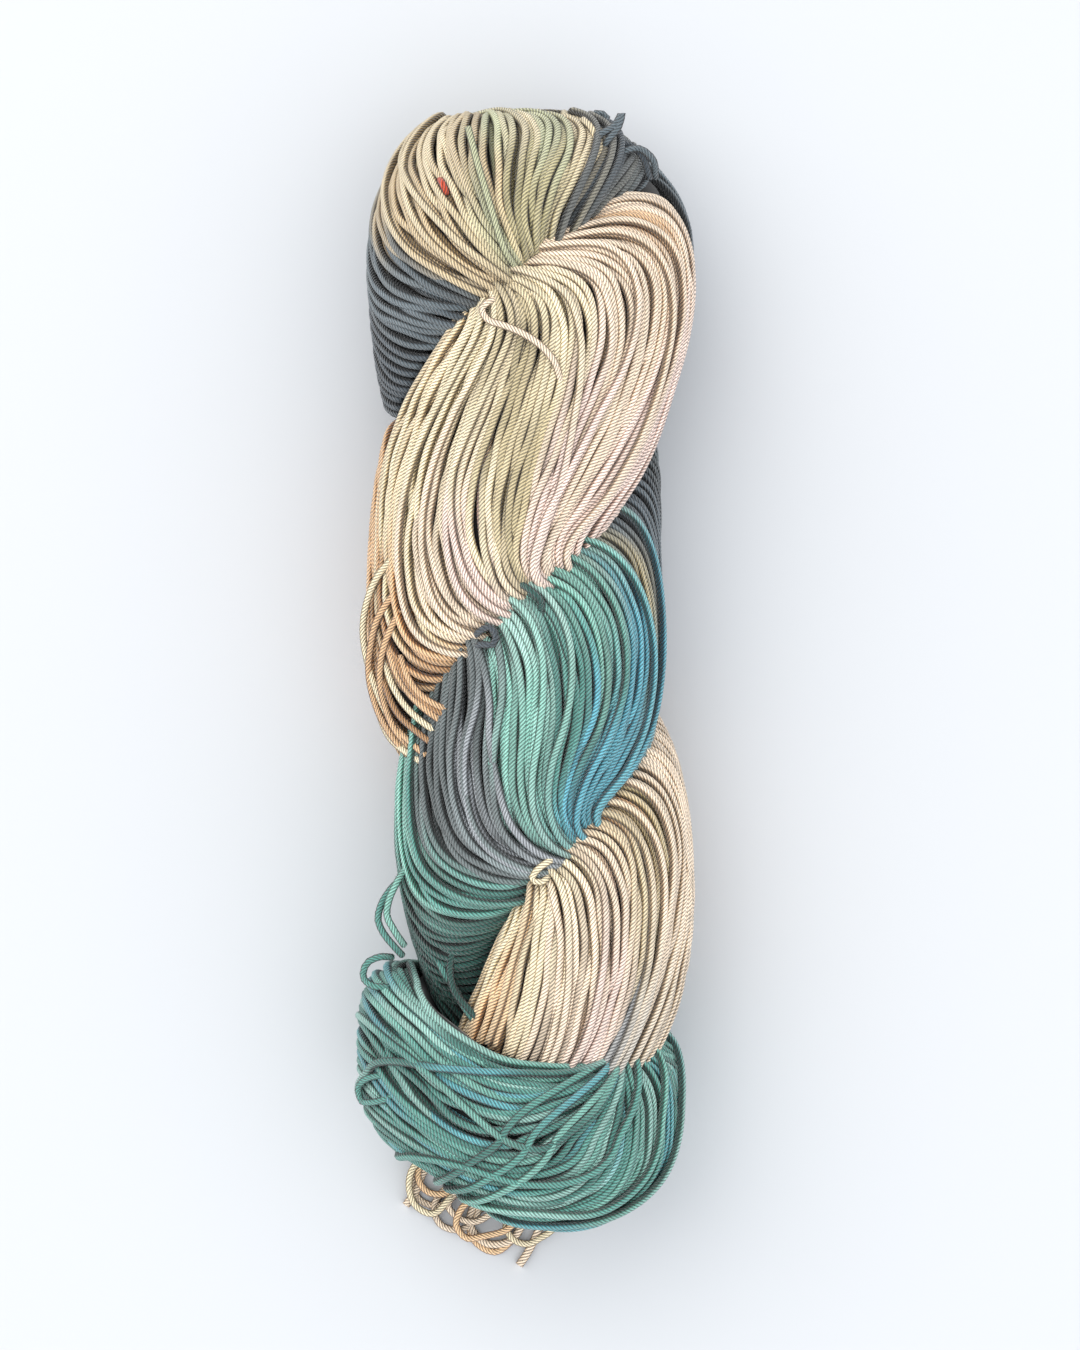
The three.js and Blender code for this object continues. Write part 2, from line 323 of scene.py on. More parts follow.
def make_piece(name, tubes, material):
    """One mesh object of many tubes."""
    corners, walls, caps, wall_maps, cap_maps, colours = [], [], [], [], [], []
    base = 0
    for part in tubes:
        corners.append(part[0])
        walls.append(part[1] + base)
        caps.append(part[2] + base)
        wall_maps.append(part[3])
        cap_maps.append(part[4])
        colours.append(part[5])
        base += len(part[0])
    walls, caps = np.concatenate(walls), np.concatenate(caps)
    mesh = bpy.data.meshes.new(name)
    mesh.vertices.add(base)
    mesh.vertices.foreach_set("co", (np.concatenate(corners) * MM).astype(np.float32).ravel())
    mesh.loops.add(walls.size + caps.size)
    mesh.loops.foreach_set("vertex_index", np.concatenate([walls.ravel(), caps.ravel()]).astype(np.int32))
    starts = np.concatenate([np.arange(len(walls)) * 4, walls.size + np.arange(len(caps)) * 3])
    mesh.polygons.add(len(starts))
    mesh.polygons.foreach_set("loop_start", starts.astype(np.int32))
    mesh.polygons.foreach_set("use_smooth", np.ones(len(starts), bool))
    mesh.update(calc_edges=True)
    layer = mesh.uv_layers.new(name="yarn_run")
    layer.data.foreach_set("uv", np.concatenate(wall_maps + cap_maps).astype(np.float32).ravel())
    dyes = mesh.color_attributes.new("dye", "FLOAT_COLOR", "POINT")
    rgb = np.concatenate(colours)
    rgba = np.concatenate([rgb, np.ones((len(rgb), 1))], 1)
    dyes.data.foreach_set("color", rgba.astype(np.float32).ravel())
    mesh.materials.append(material)
    thing = bpy.data.objects.new(name, mesh)
    bpy.context.collection.objects.link(thing)
    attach(thing, "root")
    triangles = 2 * len(walls) + len(caps)
    print(name, "runs:", len(tubes), "triangles:", triangles)
    return thing

# %% [markdown]
# ## Loose ends
#
# Three lengths of the pale end's yarn come out from under the locking loop and lie on the table: two cut
# ends and one slack loop. They follow the solid model's own routes, so their points are repeated here in
# metres, and the same curve is drawn through them.

# %% Routes of the loose ends
MIDDLE_SHIFT = (0.0006935, -0.0012805, 0.0)
END_ROUTES = {
    "loose_end_1": [
        (-0.004, -0.1038, 0.0064), (-0.0085, -0.106, 0.0036), (-0.014, -0.1075, 0.0012),
        (-0.020, -0.110, 0.001), (-0.024, -0.113, 0.001), (-0.0255, -0.117, 0.001), (-0.028, -0.1205, 0.001),
    ],
    "loose_loop": [
        (0.0, -0.1041, 0.0065), (-0.0035, -0.108, 0.0038), (-0.008, -0.1135, 0.0012), (-0.012, -0.119, 0.001),
        (-0.0135, -0.125, 0.001), (-0.010, -0.129, 0.001), (-0.0045, -0.1285, 0.001), (-0.001, -0.123, 0.001),
        (0.0015, -0.1155, 0.001), (0.0035, -0.1095, 0.003), (0.0045, -0.105, 0.007),
    ],
    "loose_end_2": [
        (0.009, -0.1057, 0.0082), (0.008, -0.1105, 0.004), (0.006, -0.1155, 0.0012),
        (0.0038, -0.1215, 0.001), (0.0015, -0.127, 0.001), (-0.0005, -0.131, 0.001), (-0.0025, -0.134, 0.001),
    ],
}
PATH_POINTS = 32
RINGS_BETWEEN = 3


def cord_curve(points, count):
    """Evenly spaced points on the centripetal curve through some points."""
    points = np.asarray(points, float)
    points = np.concatenate([[2 * points[0] - points[1]], points, [2 * points[-1] - points[-2]]])
    fine = []
    for before, start, end, after in zip(points, points[1:], points[2:], points[3:]):
        first, middle, last = (np.linalg.norm(b - a) ** 0.5
                               for a, b in ((before, start), (start, end), (end, after)))
        leave = (start - before) / first - (end - before) / (first + middle) + (end - start) / middle
        arrive = (end - start) / middle - (after - start) / (middle + last) + (after - end) / last
        leave, arrive = leave * middle, arrive * middle
        for part in np.linspace(0, 1, 60, endpoint=False):
            bend = 3 * (end - start) - 2 * leave - arrive
            fine.append(start + part * (leave + part * (bend + part * (2 * (start - end) + leave + arrive))))
    fine = np.array(fine + [points[-2]])
    run = np.append(0, np.linalg.norm(np.diff(fine, axis=0), axis=1).cumsum())
    even = np.linspace(0, run[-1], count)
    return np.stack([np.interp(even, run, fine[:, axis]) for axis in range(3)], -1)


# %% Making the loose ends
end_pieces = {}
for number, (name, points) in enumerate(END_ROUTES.items()):
    rings = cord_curve(points, (PATH_POINTS - 1) * RINGS_BETWEEN + 1) + MIDDLE_SHIFT
    length = float(np.linalg.norm(np.diff(rings, axis=0), axis=1).sum())
    upward = np.broadcast_to((0.0, 0.0, 1.0), rings.shape)
    colour = np.broadcast_to(linear(DYES["peach"]), rings.shape)
    made = tube(rings / MM, upward, colour, RADIUS, 10, 0.0)
    piece = make_piece(name + "_yarn", [made], PALE_COTTON)
    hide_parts(name)
    end_pieces[name] = piece
    print(name, round(length / MM, 1), "mm long")

# %% [markdown]
# ## The form of the hank
#
# These tables are those of the solid model. The first says where the rope of two strands runs, for each
# quarter turn counted from the top of the fold, and the next two give each strand's section. A section is
# an oval, half `wide` along the rope and half `thick` outward, and its middle is `reach` away from the
# axis. The last table is the band of the locking loop, for each part of its turn round the hank.

# %% Tables of the form
SAG = 0.78
AXIS_HEIGHT = 23.4
HEART = 92.0
HEART_GAP = 0.5
HEART_REACH = 1.2

AXIS = {
    "quarter": (0.0, 0.5, 1.0, 2.0, 3.0, 4.0, 5.0, 5.5, 6.0, 6.6, 7.0),
    "y": (109.0, 103.5, 88.0, 52.8, 13.9, -14.3, -41.0, -58.0, -80.0, -104.0, -114.0),
    "x": (-1.0, -1.5, -2.2, -1.0, -4.8, 0.0, 4.0, 5.5, 6.0, -3.0, -10.0),
}
PALE_STRAND = {
    "quarter": (0.0, 0.5, 1.0, 2.0, 3.0, 4.0, 5.0, 5.5, 6.0, 6.6, 7.0),
    "reach": (14.0, 15.0, 19.0, 15.0, 15.5, 15.0, 16.0, 15.0, 12.0, 3.0, 0.0),
    "wide": (28.0, 28.0, 26.0, 28.0, 27.0, 25.0, 26.0, 24.0, 21.0, 18.0, 15.0),
    "thick": (15.5, 16.5, 20.0, 17.0, 16.0, 15.5, 16.0, 15.0, 13.0, 14.5, 12.0),
}
GREEN_STRAND = {
    "quarter": (0.0, 0.5, 1.0, 2.0, 3.0, 4.0, 5.0, 5.5, 6.0),
    "reach": (14.0, 15.5, 17.0, 15.0, 17.0, 15.5, 17.0, 16.0, 14.0),
    "wide": (28.0, 29.0, 29.0, 27.0, 27.0, 25.0, 26.0, 24.0, 20.0),
    "thick": (15.5, 18.0, 17.0, 16.0, 17.0, 16.5, 16.7, 14.0, 12.0),
}
LOOP_BAND = {
    "turn": (0.0, 30.0, 60.0, 90.0, 135.0, 180.0, 270.0, 360.0),
    "y": (-94.0, -99.0, -103.0, -101.5, -90.5, -83.5, -86.0, -94.0),
    "half": (18.0, 18.5, 19.0, 19.0, 19.0, 19.5, 17.0, 18.0),
}
LOOP_X, LOOP_ACROSS, LOOP_UP, LOOP_THICK, LOOP_SQUARE = -2.4, 26.0, 21.8, 10.0, 0.75
PALE_END = PALE_STRAND["quarter"][-1]
GREEN_END = GREEN_STRAND["quarter"][-1]


# %% Reading a table
def between(table, along, column, places):
    """The values of a table's column at some places, on a smooth curve through its rows."""
    key = np.array(table[along])
    value = np.array(table[column])
    step = np.diff(key)
    slope = np.diff(value) / step
    lean = np.empty_like(value)
    lean[0], lean[-1] = slope[0], slope[-1]
    lean[1:-1] = (slope[:-1] * step[:-1] + slope[1:] * step[1:]) / (step[:-1] + step[1:])
    at = np.clip(places, key[0], key[-1])
    row = np.clip(np.searchsorted(key, at, side="right") - 1, 0, len(step) - 1)
    share = (at - key[row]) / step[row]
    start, end = value[row], value[row + 1]
    leave, arrive = lean[row] * step[row], lean[row + 1] * step[row]
    bend = 3 * (end - start) - 2 * leave - arrive
    return start + share * (leave + share * (bend + share * (2 * (start - end) + leave + arrive)))


def by_strand(quarter, column):
    """A column of the pale strand's table for places past the fold, and of the green one's before it."""
    turned = np.abs(quarter)
    pale = between(PALE_STRAND, "quarter", column, turned)
    green = between(GREEN_STRAND, "quarter", column, turned)
    return np.where(quarter >= 0, pale, green)


# %% [markdown]
# A place in a strand is given by its quarter turns past the top of the fold, negative on the green strand,
# and by an angle round the section from its outward side. The functions work on whole arrays of places.

# %% Points of a strand
def strand_middle(quarter):
    """Middle of the strand, before it sags, with the axis at height 0."""
    turned = np.abs(quarter)
    reach = by_strand(quarter, "reach") * np.sin(np.minimum(turned, 1) * pi / 2)
    angle = (turned - 1) * pi / 2 + np.where(quarter >= 0, 0, pi)
    x = between(AXIS, "quarter", "x", turned) + reach * np.cos(angle)
    return np.stack([x, between(AXIS, "quarter", "y", turned), reach * np.sin(angle)], -1)


def settle(points):
    """Lets points sag to the height that they have when the hank lies on the table."""
    return np.concatenate([points[..., :2], points[..., 2:] * SAG + AXIS_HEIGHT], -1)


def strand_frame(quarter):
    """Middle, outward and sideways directions, and half sizes, at each place along the strand."""
    nudge = 0.001
    turned = np.abs(quarter)
    middle = strand_middle(quarter)
    ahead = unit(strand_middle(quarter + nudge) - strand_middle(quarter - nudge))
    x = between(AXIS, "quarter", "x", turned)
    heart = np.stack([x, np.minimum(middle[..., 1], HEART), np.zeros_like(x)], -1)
    outward = middle - heart
    distance = np.linalg.norm(outward, axis=-1)
    outward = unit(outward - (outward * ahead).sum(-1, keepdims=True) * ahead)
    thick = by_strand(quarter, "thick")
    inside = np.where(turned < HEART_REACH, np.minimum(thick, distance - HEART_GAP), thick)
    return middle, outward, np.cross(ahead, outward), by_strand(quarter, "wide"), thick, inside


def strand_skin(quarter, angle, depth):
    """Points below the strand's skin, with the skin's outward direction; all three arrays have one shape."""
    middle, outward, sideways, wide, thick, inside = strand_frame(quarter)
    out, side = np.cos(angle), np.sin(angle)
    tall = np.where(out > 0, thick, inside)
    point = (middle + outward * ((tall - depth) * out)[..., None]
             + sideways * ((wide - depth) * side)[..., None])
    face = outward * (out / tall)[..., None] + sideways * (side / wide)[..., None]
    face[..., 2] /= SAG
    return settle(point), unit(face)


def loop_skin(turn, angle, depth):
    """The same for the locking loop: turn in degrees goes round the hank, angle round the band's section."""
    turned = np.radians(turn)
    around = turn % 360
    squared_out = np.sign(np.cos(angle)) * np.abs(np.cos(angle)) ** LOOP_SQUARE
    squared_along = np.sign(np.sin(angle)) * np.abs(np.sin(angle)) ** LOOP_SQUARE
    out = (LOOP_THICK - depth) * squared_out
    along = (between(LOOP_BAND, "turn", "half", around) - depth) * squared_along
    point = np.stack([
        LOOP_X + (LOOP_ACROSS + out) * np.cos(turned),
        between(LOOP_BAND, "turn", "y", around) + along,
        (LOOP_UP + out) * np.sin(turned),
    ], -1)
    face = np.stack([squared_out * np.cos(turned), squared_along * 0.6, squared_out * np.sin(turned)], -1)
    return settle(point), unit(face)


# %% [markdown]
# The solid model is moved so that its origin is under its middle. The same move is found here by setting
# this form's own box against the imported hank's.

# %% Placing the form in the frame
def grid(first, last, count, around):
    """Places on a surface: a row for each step along it and a column for each step round it."""
    along = np.linspace(first, last, count)
    round_it = np.linspace(0, 2 * pi, around, endpoint=False)
    return np.meshgrid(along, round_it, indexing="ij")


outline = np.concatenate([
    strand_skin(*grid(-GREEN_END, PALE_END, 300, 64), 0.0)[0].reshape(-1, 3),
    loop_skin(*grid(0, 360, 120, 48), 0.0)[0].reshape(-1, 3),
])
low, high = (np.array(corner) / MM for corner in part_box("hank"))
SHIFT = np.append(((low + high) / 2 - (outline.min(0) + outline.max(0)) / 2)[:2], 0)
print("shift into the frame, mm:", SHIFT.round(2))

# %% [markdown]
# ## How the turns of yarn lie
#
# The yarn could be a bump pattern on one smooth body, but then its outline would be smooth and its gaps
# flat. So each turn that shows is a tube of its own. A table turns a share of a section's edge, counted
# from its outward side, into an angle, so that the turns lie evenly spaced.

# %% Even places round a section
QUARTER_ROWS = 261
ROUND_COLUMNS = 256
TAIL = PALE_END - 0.03


def edge_table(depth):
    """Angles at even shares of the section's edge, a row for each place along the strand, and its lengths."""
    quarters = np.linspace(-GREEN_END, TAIL, QUARTER_ROWS)
    angles = np.linspace(0, 2 * pi, ROUND_COLUMNS + 1)
    points, _ = strand_skin(*np.meshgrid(quarters, angles, indexing="ij"), depth)
    run = np.linalg.norm(np.diff(points, axis=1), axis=-1).cumsum(1)
    run = np.concatenate([np.zeros((QUARTER_ROWS, 1)), run], 1)
    even = np.linspace(0, 1, ROUND_COLUMNS + 1)
    return np.array([np.interp(even, row / row[-1], angles) for row in run]), run[:, -1]


def look_up(table, quarter, share):
    """The table's angle at a quarter turn and a share of the edge."""
    row = (quarter + GREEN_END) / (GREEN_END + TAIL) * (QUARTER_ROWS - 1)
    row = np.clip(row, 0, QUARTER_ROWS - 1.001)
    column = (share % 1) * ROUND_COLUMNS
    top, left = row.astype(int), np.minimum(column.astype(int), ROUND_COLUMNS - 1)
    down, right = row - top, column - left
    upper = table[top, left] * (1 - right) + table[top, left + 1] * right
    lower = table[top + 1, left] * (1 - right) + table[top + 1, left + 1] * right
    return upper * (1 - down) + lower * down


EDGE_ANGLES, EDGE_LENGTHS = edge_table(RADIUS)
EDGE = float(EDGE_LENGTHS.mean())
print("edge of a strand, mm:", EDGE_LENGTHS.min().round(), "to", EDGE_LENGTHS.max().round())

# %% [markdown]
# The strands pinch each other once each half turn, and there the turns of each strand draw together and
# dive into the groove. Between two pinches a strand shows one lobe, and its turns fan out over it and draw
# together again. The table gives guide turns, a list for each lobe, read from the photograph. Each pair of
# numbers is a place on the strand: its quarter turn and its share of the section's edge. The other turns
# are laid between the guides. The two strands lie alike, half a turn apart, so the underside repeats the
# guides of the upper side on the other strand.

# %% Guide turns of the lobes
HALF_FOLD = [
    [(-1.6, 0.37), (-1.52, 0.28), (-1.46, 0.2), (-1.42, 0.11), (-1.38, 0.02), (-1.3, -0.08), (-1.1, -0.18),
     (-0.7, -0.28), (-0.3, -0.37)],
    [(-1.34, 0.37), (-1.29, 0.28), (-1.25, 0.2), (-1.22, 0.12), (-1.2, 0.03), (-1.16, -0.07), (-1.0, -0.16),
     (-0.6, -0.25), (-0.15, -0.33), (0.05, -0.4)],
    [(-1.08, 0.37), (-1.04, 0.28), (-1.05, 0.2), (-1.07, 0.12), (-1.08, 0.04), (-1.05, -0.06), (-0.9, -0.14),
     (-0.5, -0.22), (-0.05, -0.3), (0.17, -0.38)],
    [(-0.88, 0.37), (-0.85, 0.29), (-0.88, 0.2), (-0.92, 0.12), (-0.94, 0.03), (-0.92, -0.06), (-0.78, -0.13),
     (-0.43, -0.2), (-0.03, -0.27), (0.25, -0.36)],
    [(-0.76, 0.37), (-0.74, 0.29), (-0.76, 0.2), (-0.79, 0.12), (-0.8, 0.03), (-0.77, -0.06), (-0.63, -0.13),
     (-0.3, -0.19), (0.06, -0.25), (0.33, -0.36)],
    [(-0.68, 0.37), (-0.65, 0.29), (-0.65, 0.2), (-0.64, 0.12), (-0.62, 0.03), (-0.56, -0.06), (-0.38, -0.12),
     (-0.1, -0.18), (0.18, -0.25), (0.4, -0.36)],
    [(-0.61, 0.37), (-0.57, 0.3), (-0.52, 0.21), (-0.46, 0.12), (-0.38, 0.03), (-0.28, -0.04), (-0.12, -0.1),
     (0.1, -0.18), (0.28, -0.26), (0.45, -0.36)],
    [(-0.54, 0.37), (-0.5, 0.3), (-0.38, 0.2), (-0.25, 0.12), (-0.14, 0.04), (-0.02, -0.04), (0.12, -0.12),
     (0.27, -0.2), (0.4, -0.28), (0.5, -0.37)],
]
RIGHT_OF_FOLD = [(-0.1, 0.36), (0.1, 0.29), (0.5, 0.22), (0.83, 0.15), (0.93, 0.07), (0.97, -0.02),
 (1.06, -0.11), (1.18, -0.2), (1.28, -0.29), (1.35, -0.37)]
BELOW_FOLD = [(-1.56, -0.34), (-1.5, -0.25), (-1.48, -0.16), (-1.5, -0.07), (-1.56, 0.02), (-1.64, 0.1),
              (-1.77, 0.18), (-1.95, 0.26), (-2.1, 0.34)]
GUIDES = {
    "pale_front": [
        [(1.6, 0.36), (1.7, 0.28), (1.85, 0.235), (2.05, 0.205), (2.3, 0.175), (2.55, 0.12), (2.75, 0.03),
         (2.92, -0.06), (3.06, -0.15), (3.14, -0.24), (3.16, -0.34)],
        [(1.58, 0.35), (1.66, 0.26), (1.82, 0.21), (2.02, 0.175), (2.25, 0.135), (2.48, 0.09), (2.68, 0.02),
         (2.82, -0.06), (2.92, -0.15), (2.94, -0.24), (2.92, -0.34)],
        [(1.56, 0.34), (1.64, 0.24), (1.78, 0.18), (1.97, 0.135), (2.18, 0.095), (2.38, 0.045), (2.55, -0.02),
         (2.68, -0.1), (2.76, -0.18), (2.78, -0.26), (2.75, -0.35)],
        [(1.55, 0.34), (1.6, 0.23), (1.7, 0.155), (1.88, 0.1), (2.08, 0.05), (2.27, 0.0), (2.43, -0.07),
         (2.55, -0.15), (2.62, -0.23), (2.65, -0.34)],
        [(1.52, 0.34), (1.53, 0.23), (1.57, 0.15), (1.7, 0.08), (1.88, 0.02), (2.08, -0.04), (2.26, -0.1),
         (2.4, -0.16), (2.5, -0.23), (2.55, -0.34)],
        [(1.48, 0.34), (1.42, 0.235), (1.36, 0.16), (1.42, 0.08), (1.58, 0.0), (1.8, -0.06), (2.05, -0.12),
         (2.27, -0.17), (2.43, -0.22), (2.5, -0.33)],
        [(1.44, 0.34), (1.3, 0.25), (1.15, 0.19), (1.12, 0.11), (1.22, 0.02), (1.42, -0.06), (1.72, -0.13),
         (2.05, -0.18), (2.33, -0.22), (2.46, -0.32)],
        [(1.4, 0.34), (1.25, 0.27), (1.06, 0.22), (1.0, 0.14), (1.05, 0.04), (1.22, -0.06), (1.52, -0.15),
         (1.9, -0.21), (2.25, -0.24), (2.42, -0.33)],
        [(1.36, 0.36), (1.2, 0.3), (1.02, 0.24), (0.94, 0.16), (0.96, 0.05), (1.1, -0.07), (1.4, -0.18),
         (1.8, -0.25), (2.15, -0.29), (2.35, -0.36)],
    ],
    "green_front": [
        [(-4.75, -0.34), (-4.95, -0.18), (-5.1, -0.06), (-5.25, 0.05), (-5.4, 0.14), (-5.52, 0.21),
         (-5.65, 0.28), (-5.8, 0.36)],
        [(-4.68, -0.34), (-4.82, -0.2), (-4.97, -0.08), (-5.1, 0.03), (-5.15, 0.11), (-5.2, 0.18),
         (-5.3, 0.26), (-5.4, 0.35)],
        [(-4.55, -0.34), (-4.65, -0.2), (-4.8, -0.09), (-4.95, 0.01), (-5.02, 0.1), (-5.03, 0.19),
         (-5.0, 0.27), (-4.95, 0.36)],
        [(-4.25, -0.34), (-4.4, -0.2), (-4.55, -0.1), (-4.72, -0.01), (-4.82, 0.08), (-4.83, 0.16),
         (-4.78, 0.24), (-4.7, 0.34)],
        [(-3.95, -0.35), (-4.1, -0.25), (-4.28, -0.17), (-4.45, -0.09), (-4.6, 0.0), (-4.7, 0.09),
         (-4.68, 0.18), (-4.62, 0.26), (-4.55, 0.35)],
        [(-3.75, -0.35), (-3.88, -0.25), (-4.05, -0.185), (-4.22, -0.12), (-4.38, -0.05), (-4.5, 0.03),
         (-4.56, 0.11), (-4.55, 0.2), (-4.5, 0.28), (-4.45, 0.36)],
        [(-3.68, -0.34), (-3.75, -0.24), (-3.87, -0.17), (-4.02, -0.1), (-4.18, -0.04), (-4.32, 0.04),
         (-4.42, 0.12), (-4.45, 0.2), (-4.43, 0.28), (-4.4, 0.36)],
        [(-3.55, -0.34), (-3.63, -0.23), (-3.75, -0.15), (-3.88, -0.08), (-4.03, -0.01), (-4.18, 0.06),
         (-4.3, 0.13), (-4.37, 0.21), (-4.37, 0.3), (-4.35, 0.37)],
        [(-3.42, -0.34), (-3.48, -0.23), (-3.58, -0.14), (-3.72, -0.06), (-3.88, 0.01), (-4.05, 0.07),
         (-4.2, 0.14), (-4.3, 0.22), (-4.32, 0.34)],
        [(-3.28, -0.34), (-3.33, -0.24), (-3.41, -0.15), (-3.53, -0.06), (-3.7, 0.02), (-3.9, 0.08),
         (-4.12, 0.14), (-4.25, 0.21), (-4.28, 0.34)],
        [(-3.12, -0.34), (-3.16, -0.24), (-3.21, -0.16), (-3.3, -0.07), (-3.44, 0.01), (-3.67, 0.08),
         (-3.95, 0.14), (-4.18, 0.2), (-4.25, 0.33)],
        [(-2.95, -0.36), (-2.98, -0.25), (-3.03, -0.16), (-3.12, -0.07), (-3.27, 0.02), (-3.53, 0.1),
         (-3.85, 0.16), (-4.12, 0.2), (-4.22, 0.33)],
        [(-2.75, -0.35), (-2.8, -0.24), (-2.9, -0.14), (-3.02, -0.05), (-3.2, 0.04), (-3.45, 0.12),
         (-3.78, 0.18), (-4.05, 0.22), (-4.18, 0.34)],
        [(-2.5, -0.34), (-2.6, -0.22), (-2.76, -0.11), (-2.95, 0.0), (-3.15, 0.1), (-3.45, 0.18),
         (-3.75, 0.24), (-4.0, 0.34)],
        [(-2.35, -0.34), (-2.48, -0.22), (-2.64, -0.12), (-2.83, -0.02), (-3.03, 0.08), (-3.25, 0.16),
         (-3.5, 0.23), (-3.7, 0.33)],
        [(-2.2, -0.34), (-2.35, -0.22), (-2.52, -0.13), (-2.72, -0.03), (-2.92, 0.07), (-3.1, 0.16),
         (-3.25, 0.25), (-3.35, 0.35)],
    ],
    "pale_tail": [
        [(5.45, 0.42), (5.6, 0.33), (5.75, 0.29), (5.95, 0.27), (6.15, 0.24), (6.4, 0.2), (6.9, 0.18)],
        [(5.42, 0.38), (5.55, 0.29), (5.68, 0.26), (5.82, 0.245), (5.97, 0.22), (6.12, 0.18), (6.3, 0.12),
         (6.9, 0.1)],
        [(5.42, 0.37), (5.53, 0.27), (5.65, 0.235), (5.8, 0.205), (5.95, 0.165), (6.1, 0.12), (6.3, 0.06),
         (6.9, 0.03)],
        [(5.42, 0.36), (5.51, 0.255), (5.62, 0.21), (5.76, 0.165), (5.92, 0.11), (6.08, 0.055), (6.3, 0.0),
         (6.9, -0.02)],
        [(5.4, 0.36), (5.46, 0.25), (5.56, 0.185), (5.7, 0.125), (5.87, 0.06), (6.05, 0.0), (6.3, -0.05),
         (6.9, -0.07)],
        [(5.38, 0.36), (5.4, 0.25), (5.48, 0.165), (5.62, 0.09), (5.8, 0.02), (6.0, -0.045), (6.3, -0.09),
         (6.9, -0.12)],
        [(5.33, 0.37), (5.3, 0.25), (5.38, 0.15), (5.53, 0.065), (5.72, -0.01), (5.93, -0.07), (6.2, -0.12),
         (6.9, -0.15)],
        [(5.25, 0.37), (5.18, 0.25), (5.24, 0.16), (5.39, 0.07), (5.58, -0.01), (5.8, -0.07), (5.97, -0.11),
         (6.3, -0.15), (6.9, -0.2)],
        [(5.0, 0.37), (4.97, 0.25), (5.04, 0.16), (5.16, 0.07), (5.37, -0.01), (5.62, -0.08), (5.85, -0.13),
         (6.05, -0.17), (6.9, -0.25)],
        [(4.75, 0.36), (4.74, 0.25), (4.86, 0.16), (4.99, 0.07), (5.18, -0.01), (5.45, -0.09), (5.72, -0.15),
         (6.0, -0.2), (6.9, -0.3)],
        [(4.55, 0.36), (4.6, 0.25), (4.72, 0.16), (4.86, 0.06), (5.06, -0.04), (5.32, -0.13), (5.6, -0.2),
         (5.95, -0.25), (6.9, -0.36)],
        [(4.45, 0.36), (4.52, 0.26), (4.64, 0.17), (4.78, 0.07), (4.95, -0.04), (5.15, -0.14), (5.4, -0.23),
         (5.7, -0.32), (6.0, -0.38)],
    ],
}
LOBE_STEPS = 76
GUIDE_STEPS = 200
QUARTER_MM = 44.0


def other_strand(guides):
    """The same guides on the other strand."""
    return [[(-quarter, -share) for quarter, share in guide] for guide in guides]


GUIDES["fold"] = HALF_FOLD + [guide[::-1] for guide in other_strand(HALF_FOLD)[:2:-1]] + [RIGHT_OF_FOLD]
GUIDES["green_back"] = other_strand(GUIDES["pale_front"][:6]) + [BELOW_FOLD]
GUIDES["pale_back"] = other_strand(GUIDES["green_front"])
GUIDES["green_tail"] = [guide[:-1] for guide in other_strand(GUIDES["pale_tail"])]


# %% Turns between the guides
def through(points, count):
    """Evenly spaced points on a smooth curve through some points."""
    points = np.asarray(points, float)
    run = np.append(0, np.linalg.norm(np.diff(points, axis=0), axis=1).cumsum())
    slope = np.gradient(points, run, axis=0)
    places = np.linspace(0, run[-1], count)
    row = np.clip(np.searchsorted(run, places, side="right") - 1, 0, len(run) - 2)
    step = (run[row + 1] - run[row])[:, None]
    part = ((places - run[row])[:, None]) / step
    start, end = points[row], points[row + 1]
    leave, arrive = slope[row] * step, slope[row + 1] * step
    bend = 3 * (end - start) - 2 * leave - arrive
    return start + part * (leave + part * (bend + part * (2 * (start - end) + leave + arrive)))


def share_out(gaps, count, offset):
    """Numbers between the guides, packed by how wide the gap between two guides is."""
    heap = np.append(0, np.cumsum(gaps))
    wanted = (np.arange(count) + offset) / count * heap[-1]
    return np.interp(wanted, heap, np.arange(len(heap)))


def mix_guides(guides, number):
    """Routes at numbers between the guides."""
    number = np.clip(number, 0, len(guides) - 1.0001)
    low_guide = number.astype(int)
    part = (number - low_guide)[:, None, None]
    return guides[low_guide] * (1 - part) + guides[low_guide + 1] * part


def smooth_along(values, reach):
    """Values averaged along each turn, with its ends kept."""
    kernel = np.hanning(2 * reach + 3)[1:-1]
    kernel /= kernel.sum()
    padded = np.pad(values, ((0, 0), (reach, reach)), mode="reflect", reflect_type="odd")
    return np.array([np.convolve(row, kernel, mode="valid") for row in padded])


def lobe_routes(guides, pitch, offset=0.5):
    """Quarters and shares of a lobe's turns, laid side by side at a pitch in mm where the lobe is widest."""
    scale = np.array([QUARTER_MM, EDGE])
    guides = np.array([through(np.array(guide) * scale, GUIDE_STEPS) / scale for guide in guides])
    angle = look_up(EDGE_ANGLES, guides[..., 0], guides[..., 1])
    points, _ = strand_skin(guides[..., 0], angle, RADIUS)
    middle = slice(GUIDE_STEPS // 5, -GUIDE_STEPS // 5)
    gaps = np.percentile(spacing(points)[:-1, middle], 80, axis=1)
    count = int(round(gaps.sum() / pitch))
    number = share_out(gaps, count, offset)
    route = mix_guides(guides, number)
    place = ((np.arange(count) + offset) / count)[:, None]
    return route[..., 0], route[..., 1], place


def spacing(points):
    """Distance of each turn to the next one, square to its run."""
    ahead = unit(np.gradient(points, axis=1))
    across = np.diff(points, axis=0)
    across = np.concatenate([across, across[-1:]])
    across -= (across * ahead).sum(-1, keepdims=True) * ahead
    return np.linalg.norm(across, axis=-1)


# %% [markdown]
# On the real hank the turns aren't evenly spaced. They open into small gaps and press together again, each
# one wanders a little, and crowded turns sink below their neighbours.

# %% Laying the turns of a lobe
DRIFTS = 6
DRIFT_MM = 0.2
WANDER_MM = 0.18
PITCH = 1.5


